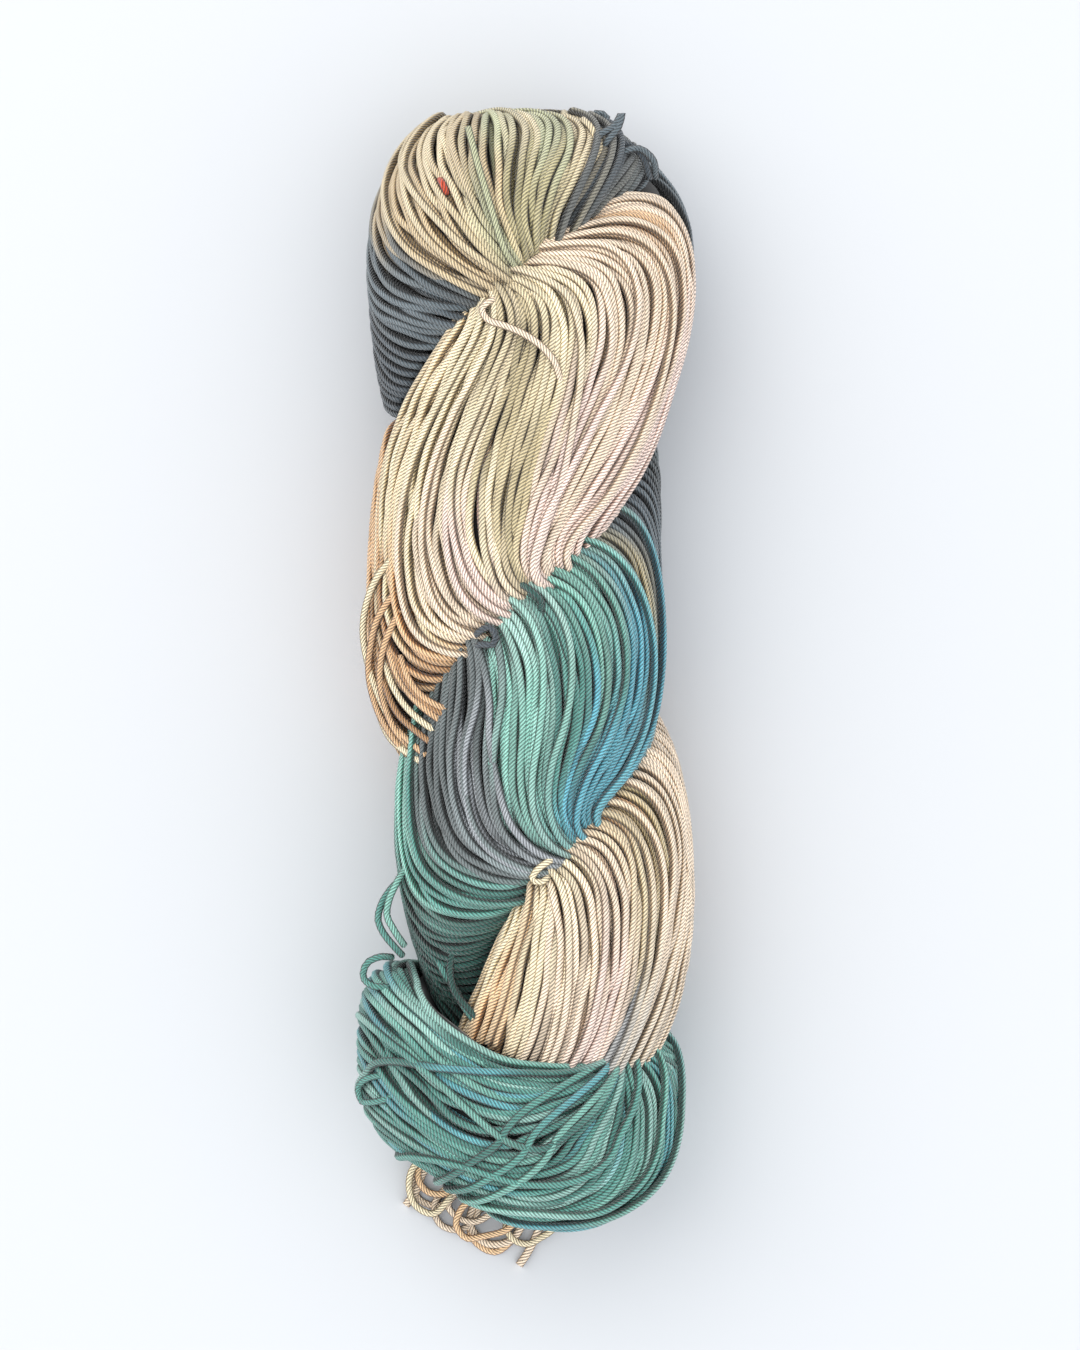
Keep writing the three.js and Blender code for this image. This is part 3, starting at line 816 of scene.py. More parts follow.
def drift(run_mm, place, random):
    """A smooth sideways shift in mm that neighbouring turns share, which opens and closes gaps."""
    shift = np.zeros(np.broadcast(run_mm, place).shape)
    for _ in range(DRIFTS):
        waves = random.uniform(2.5, 8)
        length = random.uniform(40, 90)
        phase = random.uniform(0, 2 * pi)
        size = DRIFT_MM * random.uniform(0.5, 1)
        shift += size * np.sin(2 * pi * (run_mm / length + waves * place) + phase)
    return shift


def wander(run_mm, count, random):
    """A small sideways shift in mm of each turn by itself."""
    shift = np.zeros((count, run_mm.shape[-1]))
    for length in (14.0, 27.0, 63.0):
        phase = random.uniform(0, 2 * pi, (count, 1))
        size = random.uniform(0.3, 1.3, (count, 1)) * WANDER_MM * length / 27
        shift += size * np.sin(2 * pi * run_mm / length + phase)
    return shift


def even_steps(quarter, share, count):
    """The same routes with their points evenly spaced along the yarn."""
    angle = look_up(EDGE_ANGLES, quarter, share)
    points, _ = strand_skin(quarter, angle, RADIUS)
    run = np.linalg.norm(np.diff(points, axis=1), axis=-1).cumsum(1)
    run = np.concatenate([np.zeros((len(run), 1)), run], 1)
    even = np.linspace(0, 1, count)
    new_quarter = np.array([np.interp(even, row / row[-1], values) for row, values in zip(run, quarter)])
    new_share = np.array([np.interp(even, row / row[-1], values) for row, values in zip(run, share)])
    return new_quarter, new_share, run[:, -1:]


def lay_lobe(guides, pitch, depth, seed, offset=0.5):
    """Middle lines of a lobe's turns, their outward directions, quarters, places and lengths."""
    random = np.random.default_rng(seed)
    quarter, share, place = lobe_routes(guides, pitch, offset)
    count = len(quarter)
    quarter, share, length = even_steps(quarter, share, LOBE_STEPS)
    quarter, share = smooth_along(quarter, 5), smooth_along(share, 5)
    run_mm = np.linspace(0, 1, LOBE_STEPS)[None, :] * length
    aside = drift(run_mm, place, random) + wander(run_mm, count, random)
    ahead_quarter = np.gradient(quarter, axis=1) * QUARTER_MM
    ahead_share = np.gradient(share, axis=1) * EDGE
    speed = np.maximum(np.hypot(ahead_quarter, ahead_share), 1e-6)
    quarter = np.clip(quarter + aside * ahead_share / speed / QUARTER_MM, -GREEN_END, TAIL)
    share = share - aside * ahead_quarter / speed / EDGE
    angle = look_up(EDGE_ANGLES, quarter, share)
    points, _ = strand_skin(quarter, angle, depth)
    crowd = smooth_along(np.clip(YARN / np.maximum(spacing(points), 0.3) - 1, 0, 2.5), 4)
    rank = (np.arange(count)[:, None] * 0.618) % 1
    sunk = depth + np.clip(crowd * rank * YARN * 0.7, 0, 5)
    points, face = strand_skin(quarter, angle, sunk)
    points = points + SHIFT
    points[..., 2] = np.maximum(points[..., 2], RADIUS)
    return {"points": points, "faces": face, "quarter": quarter, "place": place, "length": length}


lobes = {name: lay_lobe(guides, PITCH, RADIUS, 11 + number)
         for number, (name, guides) in enumerate(GUIDES.items())}
for name, laid in lobes.items():
    print(name, "turns:", len(laid["points"]), "length, mm:", round(float(laid["length"].mean())),
          "spacing, mm:", np.percentile(spacing(laid["points"]), (5, 50, 95)).round(2))

# %% [markdown]
# The turns of the locking loop fan out from the point on the right where the loop is drawn tight. The table
# gives guide turns from the loop's upper edge round to its lower one. Each pair of numbers is a place on
# the band: degrees round the hank from its right side over the top, and degrees round the band's section
# from its outer face, positive towards the fold.

# %% Guides of the locking loop
LOOP_GUIDES = [
    [(42, 90), (56, 70), (80, 66), (100, 58), (116, 62), (130, 72), (145, 85), (170, 95), (225, 100),
     (270, 100), (315, 98), (350, 95), (378, 92), (402, 95)],
    [(42, 88), (56, 58), (80, 46), (100, 38), (118, 44), (135, 55), (155, 60), (180, 60), (225, 62),
     (270, 60), (315, 58), (350, 62), (378, 75), (402, 92)],
    [(42, 86), (54, 48), (75, 28), (97, 14), (118, 14), (140, 28), (158, 35), (180, 38), (225, 38), (270, 35),
     (315, 30), (350, 38), (378, 55), (402, 90)],
    [(42, 86), (52, 42), (68, 14), (88, -4), (110, -10), (132, -2), (153, 8), (178, 12), (225, 10), (270, 8),
     (315, 8), (350, 20), (378, 45), (402, 90)],
    [(42, 85), (50, 38), (62, 5), (80, -18), (103, -32), (128, -32), (150, -20), (178, -15), (225, -15),
     (270, -15), (315, -12), (350, 0), (376, 35), (401, 88)],
    [(42, 84), (48, 36), (54, 0), (68, -28), (92, -45), (118, -52), (142, -48), (170, -45), (225, -42),
     (270, -42), (315, -40), (350, -25), (374, 20), (400, 86)],
    [(41, 84), (43, 40), (42, 0), (52, -35), (75, -58), (102, -72), (130, -75), (165, -75), (225, -72),
     (270, -70), (315, -68), (350, -50), (372, 5), (399, 85)],
    [(40, 84), (34, 45), (28, 5), (32, -35), (55, -65), (90, -85), (125, -98), (165, -100), (225, -100),
     (270, -98), (315, -95), (350, -75), (370, -10), (398, 84)],
    [(40, 85), (26, 60), (12, 25), (8, -15), (18, -60), (50, -95), (90, -115), (135, -125), (180, -128),
     (225, -130), (270, -130), (315, -125), (350, -100), (368, -30), (396, 84)],
    [(40, 88), (22, 78), (6, 60), (-6, 25), (-8, -30), (10, -80), (45, -115), (90, -135), (135, -142),
     (180, -145), (225, -148), (270, -150), (315, -140), (345, -115), (364, -40), (394, 84)],
]
LOOP_TURNS = 74
LOOP_STEPS = 150


def lay_loop(count, depth, seed):
    """Middle lines of the loop's turns, outward directions, and the turn in degrees of each point."""
    random = np.random.default_rng(seed)
    guides = np.array([through(guide, LOOP_STEPS) for guide in LOOP_GUIDES])
    place = np.linspace(0, len(guides) - 1.001, count)
    place = np.clip(place + random.uniform(-0.04, 0.04, count), 0, len(guides) - 1.001)
    low_guide = place.astype(int)
    part = (place - low_guide)[:, None, None]
    route = guides[low_guide] * (1 - part) + guides[low_guide + 1] * part
    run = np.linspace(0, 1, LOOP_STEPS)[None, :]
    free = np.sin(pi * run) ** 0.5
    for waves in (2, 4, 7, 11):
        phase = random.uniform(0, 2 * pi, (count, 1))
        size = random.uniform(0.3, 1, (count, 1)) * 9.0 / waves
        route[..., 1] += size * free * np.sin(2 * pi * waves * run + phase)
    turn, angle = route[..., 0], np.radians(route[..., 1])
    points, _ = loop_skin(turn, angle, depth)
    crowd = smooth_along(np.clip(YARN / np.maximum(spacing(points), 0.3) - 1, 0, 2.5), 4)
    rank = (np.arange(count)[:, None] * 0.618) % 1
    sunk = depth + np.clip(crowd * rank * YARN * 0.8, 0, 6)
    points, face = loop_skin(turn, angle, sunk)
    points = points + SHIFT
    points[..., 2] = np.maximum(points[..., 2], RADIUS)
    return points, face, turn, angle


loop_turns, loop_faces, loop_degrees, _ = lay_loop(LOOP_TURNS, RADIUS, 5)
print("loop turns:", loop_turns.shape[0])

# %% [markdown]
# Much of each turn is out of sight, pressed between the strands. Those stretches are left out: a point goes
# if it is well inside the body of another strand or of the loop.

# %% Bodies that hide what is inside them
HIDDEN_DEPTH = 2.4
APART = 0.75


def closed_body(points):
    """A search tree for the closed surface through a grid of points."""
    rows, columns = points.shape[:2]
    flat = points.reshape(-1, 3)
    faces = []
    for row in range(rows - 1):
        for column in range(columns):
            after = (column + 1) % columns
            faces.append((row * columns + column, row * columns + after,
                          (row + 1) * columns + after, (row + 1) * columns + column))
    caps = np.array([points[0].mean(0), points[-1].mean(0)])
    for column in range(columns):
        after = (column + 1) % columns
        faces.append((len(flat), after, column))
        faces.append((len(flat) + 1, (rows - 1) * columns + column, (rows - 1) * columns + after))
    corners = np.concatenate([flat, caps])
    return BVHTree.FromPolygons([tuple(corner) for corner in corners], faces)


def inside(tree, point):
    """Whether a point is inside a closed body: a line from it leaves the body an odd number of times."""
    votes = 0
    for way in (Vector((0.31, 0.22, 0.92)), Vector((-0.43, 0.17, -0.88)), Vector((0.71, -0.66, 0.24))):
        spot, crossings = Vector(point), 0
        while True:
            hit, _, _, _ = tree.ray_cast(spot, way)
            if hit is None:
                break
            crossings += 1
            spot = hit + way * 0.01
        votes += crossings % 2
    return votes >= 2


def hidden_in(body, point):
    """Whether a point is well inside a body."""
    _, _, _, distance = body.find_nearest(Vector(point))
    return distance > HIDDEN_DEPTH and inside(body, point)


PALE_BODY = closed_body(strand_skin(*grid(0.5, TAIL, 130, 40), 0.0)[0] + SHIFT)
GREEN_BODY = closed_body(strand_skin(*grid(-GREEN_END, -0.5, 110, 40), 0.0)[0] + SHIFT)
LOOP_BODY = closed_body(loop_skin(*grid(0, 359.99, 90, 30), 0.0)[0] + SHIFT)


def in_sight(points, others):
    """Which points aren't hidden inside the other bodies."""
    flat = points.reshape(-1, 3)
    kept = np.ones(len(flat), bool)
    for place, point in enumerate(flat):
        kept[place] = not any(hidden_in(body, point) for body in others)
    return kept.reshape(points.shape[:-1])


def strand_in_sight(points, quarter):
    """The same for turns of the strand: each half is hidden by the other half and by the loop."""
    kept = in_sight(points, [LOOP_BODY])
    pale, green = quarter > APART, quarter < -APART
    kept[pale] &= in_sight(points[pale], [GREEN_BODY])
    kept[green] &= in_sight(points[green], [PALE_BODY])
    return kept


for name, laid in lobes.items():
    laid["kept"] = strand_in_sight(laid["points"], laid["quarter"])
    print("kept of", name, round(float(laid["kept"].mean()), 2))
kept_loop = in_sight(loop_turns, [PALE_BODY, GREEN_BODY])
print("kept of the loop:", round(float(kept_loop.mean()), 2))

# %% [markdown]
# ## Dye
#
# The skein was painted with pots of dye while it was open, so a colour covers a length of the skein and
# spreads in streaks along the turns. Each spot of dye is named, with the place where it shows from above,
# in the photograph's pixels. A spot colours the turns near it far along their run and little across it. The
# lobes beneath have their own spots, by share along the lobe and across it.

# %% Where the dye shows
DYE_SPOTS = {
    "fold": [
        {"x": 400, "y": 200, "dye": "tan"}, {"x": 430, "y": 150, "dye": "sand"},
        {"x": 440, "y": 220, "dye": "tan"}, {"x": 460, "y": 130, "dye": "tan"},
        {"x": 495, "y": 130, "dye": "sage"}, {"x": 490, "y": 200, "dye": "tan"},
        {"x": 505, "y": 240, "dye": "sage"}, {"x": 530, "y": 130, "dye": "sand"},
        {"x": 520, "y": 200, "dye": "olive"}, {"x": 550, "y": 170, "dye": "olive"},
        {"x": 580, "y": 140, "dye": "sand"}, {"x": 545, "y": 120, "dye": "sage"},
        {"x": 375, "y": 250, "dye": "slate"}, {"x": 410, "y": 262, "dye": "slate"},
        {"x": 440, "y": 300, "dye": "slate"}, {"x": 470, "y": 310, "dye": "deep_slate"},
        {"x": 390, "y": 300, "dye": "slate"}, {"x": 390, "y": 350, "dye": "deep_slate"},
        {"x": 425, "y": 345, "dye": "slate"}, {"x": 395, "y": 390, "dye": "deep_slate"},
        {"x": 610, "y": 160, "dye": "deep_slate"}, {"x": 640, "y": 150, "dye": "slate"},
        {"x": 680, "y": 175, "dye": "slate"}, {"x": 698, "y": 230, "dye": "slate"},
        {"x": 395, "y": 225, "dye": "tan"}, {"x": 420, "y": 245, "dye": "tan"},
        {"x": 378, "y": 222, "dye": "tan"}, {"x": 372, "y": 244, "dye": "slate"},
        {"x": 398, "y": 262, "dye": "slate"}, {"x": 424, "y": 276, "dye": "slate"},
        {"x": 446, "y": 288, "dye": "slate"}, {"x": 448, "y": 262, "dye": "tan"},
    ],
    # Painted shade: the fawn spot at x 600, y 225 under the arch of the fold and the dark brown one at x 415,
    # y 660 on the left edge colour turns lying in shade.
    "pale_front": [
        {"x": 640, "y": 200, "dye": "peach"}, {"x": 680, "y": 260, "dye": "peach"},
        {"x": 600, "y": 225, "dye": "fawn"}, {"x": 640, "y": 235, "dye": "peach"},
        {"x": 560, "y": 320, "dye": "cream"}, {"x": 620, "y": 330, "dye": "peach"},
        {"x": 670, "y": 350, "dye": "blush"}, {"x": 600, "y": 420, "dye": "peach"},
        {"x": 510, "y": 400, "dye": "khaki"}, {"x": 525, "y": 470, "dye": "khaki"},
        {"x": 560, "y": 470, "dye": "blush"}, {"x": 650, "y": 430, "dye": "blush"},
        {"x": 450, "y": 400, "dye": "cream"}, {"x": 480, "y": 480, "dye": "cream"},
        {"x": 480, "y": 350, "dye": "cream"}, {"x": 410, "y": 500, "dye": "cream"},
        {"x": 440, "y": 580, "dye": "peach"}, {"x": 490, "y": 580, "dye": "blush"},
        {"x": 400, "y": 620, "dye": "fawn"}, {"x": 440, "y": 660, "dye": "fawn"},
        {"x": 415, "y": 660, "dye": "shade_umber"}, {"x": 385, "y": 560, "dye": "cream"},
    ],
    "green_front": [
        {"x": 640, "y": 500, "dye": "deep_slate"}, {"x": 610, "y": 520, "dye": "slate"},
        {"x": 625, "y": 545, "dye": "khaki"}, {"x": 655, "y": 545, "dye": "slate"},
        {"x": 560, "y": 570, "dye": "mint"}, {"x": 530, "y": 650, "dye": "pale_mint"},
        {"x": 530, "y": 720, "dye": "mint"}, {"x": 600, "y": 620, "dye": "mint"},
        {"x": 640, "y": 660, "dye": "teal"}, {"x": 580, "y": 720, "dye": "sea_green"},
        {"x": 560, "y": 790, "dye": "teal"}, {"x": 620, "y": 740, "dye": "teal"},
        {"x": 470, "y": 700, "dye": "charcoal"}, {"x": 445, "y": 740, "dye": "charcoal"},
        {"x": 470, "y": 780, "dye": "lilac"}, {"x": 490, "y": 820, "dye": "charcoal"},
        {"x": 520, "y": 850, "dye": "lilac"}, {"x": 500, "y": 740, "dye": "mint"},
        {"x": 430, "y": 800, "dye": "charcoal"}, {"x": 410, "y": 830, "dye": "mint"},
        {"x": 450, "y": 890, "dye": "sea_green"}, {"x": 405, "y": 780, "dye": "mint"},
        {"x": 420, "y": 940, "dye": "deep_teal"}, {"x": 480, "y": 930, "dye": "deep_teal"},
    ],
    # Painted shade: the khaki spot at x 620, y 800 and the dark brown one at x 595, y 810 colour the turns in
    # the shadowed crevice under the green strand.
    "pale_tail": [
        {"x": 660, "y": 760, "dye": "peach"}, {"x": 680, "y": 850, "dye": "peach"},
        {"x": 620, "y": 800, "dye": "khaki"}, {"x": 595, "y": 810, "dye": "shade_umber"},
        {"x": 640, "y": 860, "dye": "sand"}, {"x": 655, "y": 930, "dye": "sand"},
        {"x": 640, "y": 1000, "dye": "lilac"}, {"x": 600, "y": 900, "dye": "peach"},
        {"x": 570, "y": 870, "dye": "cream"}, {"x": 510, "y": 950, "dye": "cream"},
        {"x": 560, "y": 1000, "dye": "peach"}, {"x": 600, "y": 1020, "dye": "blush"},
        {"x": 490, "y": 1000, "dye": "apricot"}, {"x": 550, "y": 940, "dye": "cream"},
    ],
}
HIDDEN_SPOTS = [
    {"lobe": "pale_back", "run": 0.2, "place": 0.2, "dye": "peach"},
    {"lobe": "pale_back", "run": 0.5, "place": 0.5, "dye": "khaki"},
    {"lobe": "pale_back", "run": 0.8, "place": 0.7, "dye": "blush"},
    {"lobe": "pale_back", "run": 0.5, "place": 0.9, "dye": "fawn"},
    {"lobe": "pale_back", "run": 0.3, "place": 0.05, "dye": "peach"},
    {"lobe": "green_back", "run": 0.2, "place": 0.3, "dye": "charcoal"},
    {"lobe": "green_back", "run": 0.5, "place": 0.6, "dye": "slate"},
    {"lobe": "green_back", "run": 0.9, "place": 0.5, "dye": "deep_slate"},
    {"lobe": "fold", "run": 0.9, "place": 0.05, "dye": "deep_slate"},
    {"lobe": "fold", "run": 0.9, "place": 0.5, "dye": "tan"},
    {"lobe": "fold", "run": 0.9, "place": 0.9, "dye": "slate"},
    {"lobe": "green_tail", "run": 0.2, "place": 0.5, "dye": "deep_teal"},
    {"lobe": "green_tail", "run": 0.9, "place": 0.5, "dye": "sea_green"},
]
DYE_ALONG_MM = 26.0
DYE_ACROSS = 0.055


# %% Spreading the dye
def in_photo(points):
    """Where points in mm show in the photograph, in its pixels."""
    size = (EYE_HEIGHT - MIDDLE_HEIGHT) / (EYE_HEIGHT - points[..., 2]) / MM_PER_PIXEL
    return np.stack([PHOTO_WIDE / 2 + (points[..., 0] - VIEW_MIDDLE[0]) * size,
                     PHOTO_HIGH / 2 - (points[..., 1] - VIEW_MIDDLE[1]) * size], -1)


def find_spots():
    """For each lobe, its dye spots: millimetres along the turn, place across the lobe and colour."""
    found = {name: [] for name in lobes}
    for name, spots in DYE_SPOTS.items():
        laid = lobes[name]
        shown = in_photo(laid["points"])
        for spot in spots:
            away = np.hypot(shown[..., 0] - spot["x"], shown[..., 1] - spot["y"])
            score = np.where(laid["kept"], laid["points"][..., 2] * 0.3 - away, -1e9)
            turn, step = np.unravel_index(np.argmax(score), score.shape)
            mm = step / (LOBE_STEPS - 1) * laid["length"][turn, 0]
            found[name].append((mm, laid["place"][turn, 0], linear(DYES[spot["dye"]])))
    for spot in HIDDEN_SPOTS:
        laid = lobes[spot["lobe"]]
        mm = spot["run"] * float(laid["length"].mean())
        found[spot["lobe"]].append((mm, spot["place"], linear(DYES[spot["dye"]])))
    return found


def dye_lobe(laid, spots, random, spread=0.09):
    """Colour at each point of a lobe's turns."""
    count = len(laid["points"])
    run_mm = np.linspace(0, 1, laid["points"].shape[1])[None, :] * laid["length"]
    late = random.normal(0, 7.0, (count, 1))
    aside = random.normal(0, 0.012, (count, 1))
    total = np.zeros(run_mm.shape + (1,))
    colour = np.zeros(run_mm.shape + (3,))
    for mm, place, dye in spots:
        along = (run_mm + late - mm) / DYE_ALONG_MM
        across = (laid["place"] + aside - place) / DYE_ACROSS
        reach = along ** 2 + across ** 2
        weight = (1 / (0.05 + reach) ** 2)[..., None]
        colour += weight * dye
        total += weight
    return mottle(colour / total, run_mm, random, spread)


def mottle(colour, run_mm, random, spread=0.09):
    """The dye took unevenly: each turn is a little lighter or darker, and changes along its run."""
    count = len(colour)
    level = 1 + random.normal(0, spread, (count, 1)) + np.zeros_like(run_mm)
    for length in (11.0, 27.0, 70.0):
        phase = random.uniform(0, 2 * pi, (count, 1))
        level += random.uniform(0.0, 0.06, (count, 1)) * np.sin(2 * pi * run_mm / length + phase)
    return colour * np.clip(level, 0.6, 1.35)[..., None]


chance = np.random.default_rng(77)
SPOTS = find_spots()
for name, laid in lobes.items():
    laid["dye"] = dye_lobe(laid, SPOTS[name], chance, 0.2 if name.startswith("green") else 0.11)
print("dye spots:", {name: len(spots) for name, spots in SPOTS.items()})

# %% [markdown]
# ## The outer turns
#
# Each lobe's turns that show are one piece, and so are those of the locking loop.

# %% Making the outer turns
def tubes_of(laid, radius, sides, every=1):
    """A tube for each stretch of yarn that is in sight."""
    made = []
    for number in range(len(laid["points"])):
        for first, last in runs_of(laid["kept"][number]):
            part = slice(first, last, every)
            made.append(tube(laid["points"][number, part], laid["faces"][number, part],
                             laid["dye"][number, part], radius, sides, number * 37.3 + first * 1.5))
    return made


for name, laid in lobes.items():
    piece = make_piece(name + "_turns", tubes_of(laid, RADIUS, TUBE_SIDES), DYED_COTTON)
LOOP_DYES = ("sea_green", "sea_green", "mint", "deep_teal", "teal", "pale_mint")


def dye_loop(turn, random):
    """Colour of the loop's turns: each is patched with a few of the loop's dyes along its run."""
    pots = np.array([linear(DYES[name]) for name in LOOP_DYES])
    count, steps = turn.shape
    picks = random.integers(0, len(pots), (count, 14))
    places = turn / 30 + random.uniform(0, 2, (count, 1)) + 1
    low_pick = np.clip(places.astype(int), 0, 12)
    part = np.clip((places - low_pick) * 2 - 0.5, 0, 1)[..., None]
    rows = np.arange(count)[:, None]
    patched = pots[picks[rows, low_pick]] * (1 - part) + pots[picks[rows, low_pick + 1]] * part
    base = pots[0] * 0.45 + patched * 0.55
    return mottle(base, np.radians(turn) * 30, random)


loop_laid = {"points": loop_turns, "faces": loop_faces, "kept": kept_loop,
             "dye": dye_loop(loop_degrees, chance)}
piece = make_piece("loop_turns", tubes_of(loop_laid, RADIUS, TUBE_SIDES), DYED_COTTON)

# %% [markdown]
# A few turns cross over their neighbours. On a lobe such a turn starts at one place between the guides and
# ends at another. On the loop one bundle crosses the others, from where the loop is drawn tight down to its
# lower edge on the left. The ends of those on the loop dive below the other turns.

# %% Making the turns that cross over
CROSSING_DEPTH = -0.55
CROSSING_DIVE = 3.4
CROSSING_STEPS = 70
LOOP_CROSSINGS = [
    [(44, 80), (50, 62), (60, 44), (71, 26), (81, 10), (90, -6), (99, -22), (108, -42), (118, -64),
     (126, -90), (134, -120)],
    [(45, 84), (53, 68), (64, 52), (76, 34), (86, 18), (95, 1), (104, -14), (113, -34), (122, -58),
     (130, -86), (138, -120)],
    [(43, 80), (47, 58), (56, 38), (67, 19), (77, 3), (86, -13), (95, -30), (104, -50), (113, -72),
     (120, -95), (126, -120)],
    [(200, -40), (178, -24), (158, -4), (140, 8), (122, 17), (105, 30), (88, 44), (70, 52), (52, 66),
     (42, 88)],
    [(200, 10), (178, 16), (158, 20), (138, 18), (118, 10), (98, 0), (80, 0), (66, 14), (54, 40), (43, 86)],
    [(30, 84), (26, 50), (30, 10), (44, -28), (62, -42), (84, -44), (104, -60), (120, -90), (130, -120)],
    [(36, 84), (40, 48), (50, 8), (66, -12), (86, -20), (108, -24), (130, -40), (150, -70), (170, -110)],
    [(12, 80), (8, 40), (16, -8), (36, -44), (58, -52), (80, -60), (100, -80), (115, -110)],
]


def crossing_turns(guides, between_guides, depth, steps):
    """Turns that start at one number between the guides and end at another."""
    scale = np.array([QUARTER_MM, EDGE])
    even = np.array([through(np.array(guide) * scale, steps) / scale for guide in guides])
    run = np.linspace(0, 1, steps)
    ease = run * run * (3 - 2 * run)
    made = []
    for first, last in between_guides:
        number = first + (last - first) * ease
        low_guide = np.clip(number.astype(int), 0, len(guides) - 2)
        part = (number - low_guide)[:, None]
        step = np.arange(steps)
        made.append(even[low_guide, step] * (1 - part) + even[low_guide + 1, step] * part)
    made = np.array(made)
    quarter, share = made[..., 0], made[..., 1]
    points, face = strand_skin(quarter, look_up(EDGE_ANGLES, quarter, share), depth)
    points = points + SHIFT
    points[..., 2] = np.maximum(points[..., 2], RADIUS)
    return points, face, quarter


crossing_tubes = []
for name, count, first, last in (("fold", 6, 4, 9), ("pale_front", 8, 1, 6), ("green_front", 11, 3, 12),
                                 ("pale_tail", 6, 2, 9)):
    guides = GUIDES[name]
    starts = chance.uniform(first, last, count)
    ends = starts + chance.choice((-1, 1), count) * chance.uniform(0.3, 0.9, count)
    points, face, quarter = crossing_turns(guides, zip(starts, ends), CROSSING_DEPTH, CROSSING_STEPS)
    length = np.linalg.norm(np.diff(points, axis=1), axis=-1).sum(1)[:, None]
    place = ((starts + ends) / 2 / (len(guides) - 1))[:, None]
    laid = {"points": points, "faces": face, "quarter": quarter, "length": length, "place": place}
    laid["dye"] = dye_lobe(laid, SPOTS[name], chance)
    laid["kept"] = strand_in_sight(points, quarter)
    crossing_tubes += tubes_of(laid, RADIUS * 0.92, TUBE_SIDES)
route = np.array([through(guide, CROSSING_STEPS) for guide in LOOP_CROSSINGS])
points, face = loop_skin(route[..., 0], np.radians(route[..., 1]), CROSSING_DEPTH)
run = np.linspace(0, 1, CROSSING_STEPS)[:, None]
points = points + SHIFT - face * CROSSING_DIVE * (np.exp(-run * 12) + np.exp(-(1 - run) * 12))
points[..., 2] = np.maximum(points[..., 2], RADIUS)
laid = {"points": points, "faces": face, "dye": dye_loop(route[..., 0], chance),
        "kept": in_sight(points, [PALE_BODY, GREEN_BODY])}
crossing_tubes += tubes_of(laid, RADIUS * 0.95, TUBE_SIDES)
piece = make_piece("crossing_turns", crossing_tubes, DYED_COTTON)
# %% [markdown]
# ## Turns below, and the packed middle
#
# Through the gaps between the outer turns the next layer shows, in shade. It is laid in the same way,
# deeper and further apart, with coarser tubes, and its dye is darkened as painted shade. Below that the
# yarn is packed, and a plain skin coloured near black as painted shade is enough.

# %% Making the layer below
UNDER_DEPTH = 2.7
UNDER_PITCH = 2.2
UNDER_SHADE = 0.62
UNDER_SHADE_DEEPEN = 1.5
UNDER_SIDES = 6
UNDER_EVERY = 2
UNDER_LOOP_TURNS = 46
for number, (name, guides) in enumerate(GUIDES.items()):
    laid = lay_lobe(guides, UNDER_PITCH, UNDER_DEPTH, 41 + number, 0.0)
    # Painted shade: the layer below has its dye darkened and deepened in colour, for the shade of the outer
    # turns over it.
    laid["dye"] = UNDER_SHADE * dye_lobe(laid, SPOTS[name], chance) ** UNDER_SHADE_DEEPEN
    laid["kept"] = strand_in_sight(laid["points"], laid["quarter"])
    piece = make_piece(name + "_turns_below", tubes_of(laid, RADIUS, UNDER_SIDES, UNDER_EVERY), DYED_COTTON)
under_loop, under_loop_faces, _, _ = lay_loop(UNDER_LOOP_TURNS, UNDER_DEPTH, 8)
# The loop's layer below gets the same painted shade on its green.
laid = {"points": under_loop, "faces": under_loop_faces,
        "dye": UNDER_SHADE * np.broadcast_to(linear(DYES["sea_green"]), under_loop.shape) ** UNDER_SHADE_DEEPEN,
        "kept": in_sight(under_loop, [PALE_BODY, GREEN_BODY])}
piece = make_piece("under_loop_turns", tubes_of(laid, RADIUS, UNDER_SIDES, UNDER_EVERY), DYED_COTTON)

# %% Making the packed middle
CORE_DEPTH = 3.6
CORE_LOWEST = 2.2
# Painted shade: the packed middle is near black, brown under the strands and green under the loop, for the
# deep shade inside the hank.
PACKED_SHADE_COLOUR = "2e2a26"
PACKED_LOOP_SHADE_COLOUR = "16231f"


def core_tube(points, dye):
    """A closed skin through a grid of points, as one wide tube."""
    rows, sides = points.shape[:2]
    corners = np.concatenate([points.reshape(-1, 3), [points[0].mean(0), points[-1].mean(0)]])
    row, side = (part.ravel() for part in np.meshgrid(np.arange(rows - 1), np.arange(sides), indexing="ij"))
    after = (side + 1) % sides
    walls = np.stack([row * sides + side, row * sides + after,
                      (row + 1) * sides + after, (row + 1) * sides + side], -1)
    side = np.arange(sides)
    after = (side + 1) % sides
    last = (rows - 1) * sides
    front = np.stack([np.full(sides, rows * sides), after, side], -1)
    back = np.stack([np.full(sides, rows * sides + 1), last + side, last + after], -1)
    caps = np.concatenate([front, back])
    wall_map = np.zeros((walls.size, 2))
    cap_map = np.zeros((caps.size, 2))
    colours = np.concatenate([np.repeat(dye, sides, 0), dye[:1], dye[-1:]])
    return corners, walls, caps, wall_map, cap_map, colours


core_quarters, core_angles = grid(-GREEN_END, TAIL, 160, 40)
core_points = strand_skin(core_quarters, core_angles, CORE_DEPTH)[0] + SHIFT
core_points[..., 2] = np.maximum(core_points[..., 2], CORE_LOWEST)
core_shade_colour = np.broadcast_to(linear(PACKED_SHADE_COLOUR), (160, 3))
loop_degree_grid, loop_angle_grid = grid(0, 359.9, 90, 30)
loop_core = loop_skin(loop_degree_grid, loop_angle_grid, CORE_DEPTH)[0] + SHIFT
loop_core[..., 2] = np.maximum(loop_core[..., 2], CORE_LOWEST)
core_piece = make_piece("packed_middle_shade", [
    core_tube(core_points, core_shade_colour),
    core_tube(loop_core, np.broadcast_to(linear(PACKED_LOOP_SHADE_COLOUR), (90, 3))),
], DYED_COTTON)
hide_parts("hank")
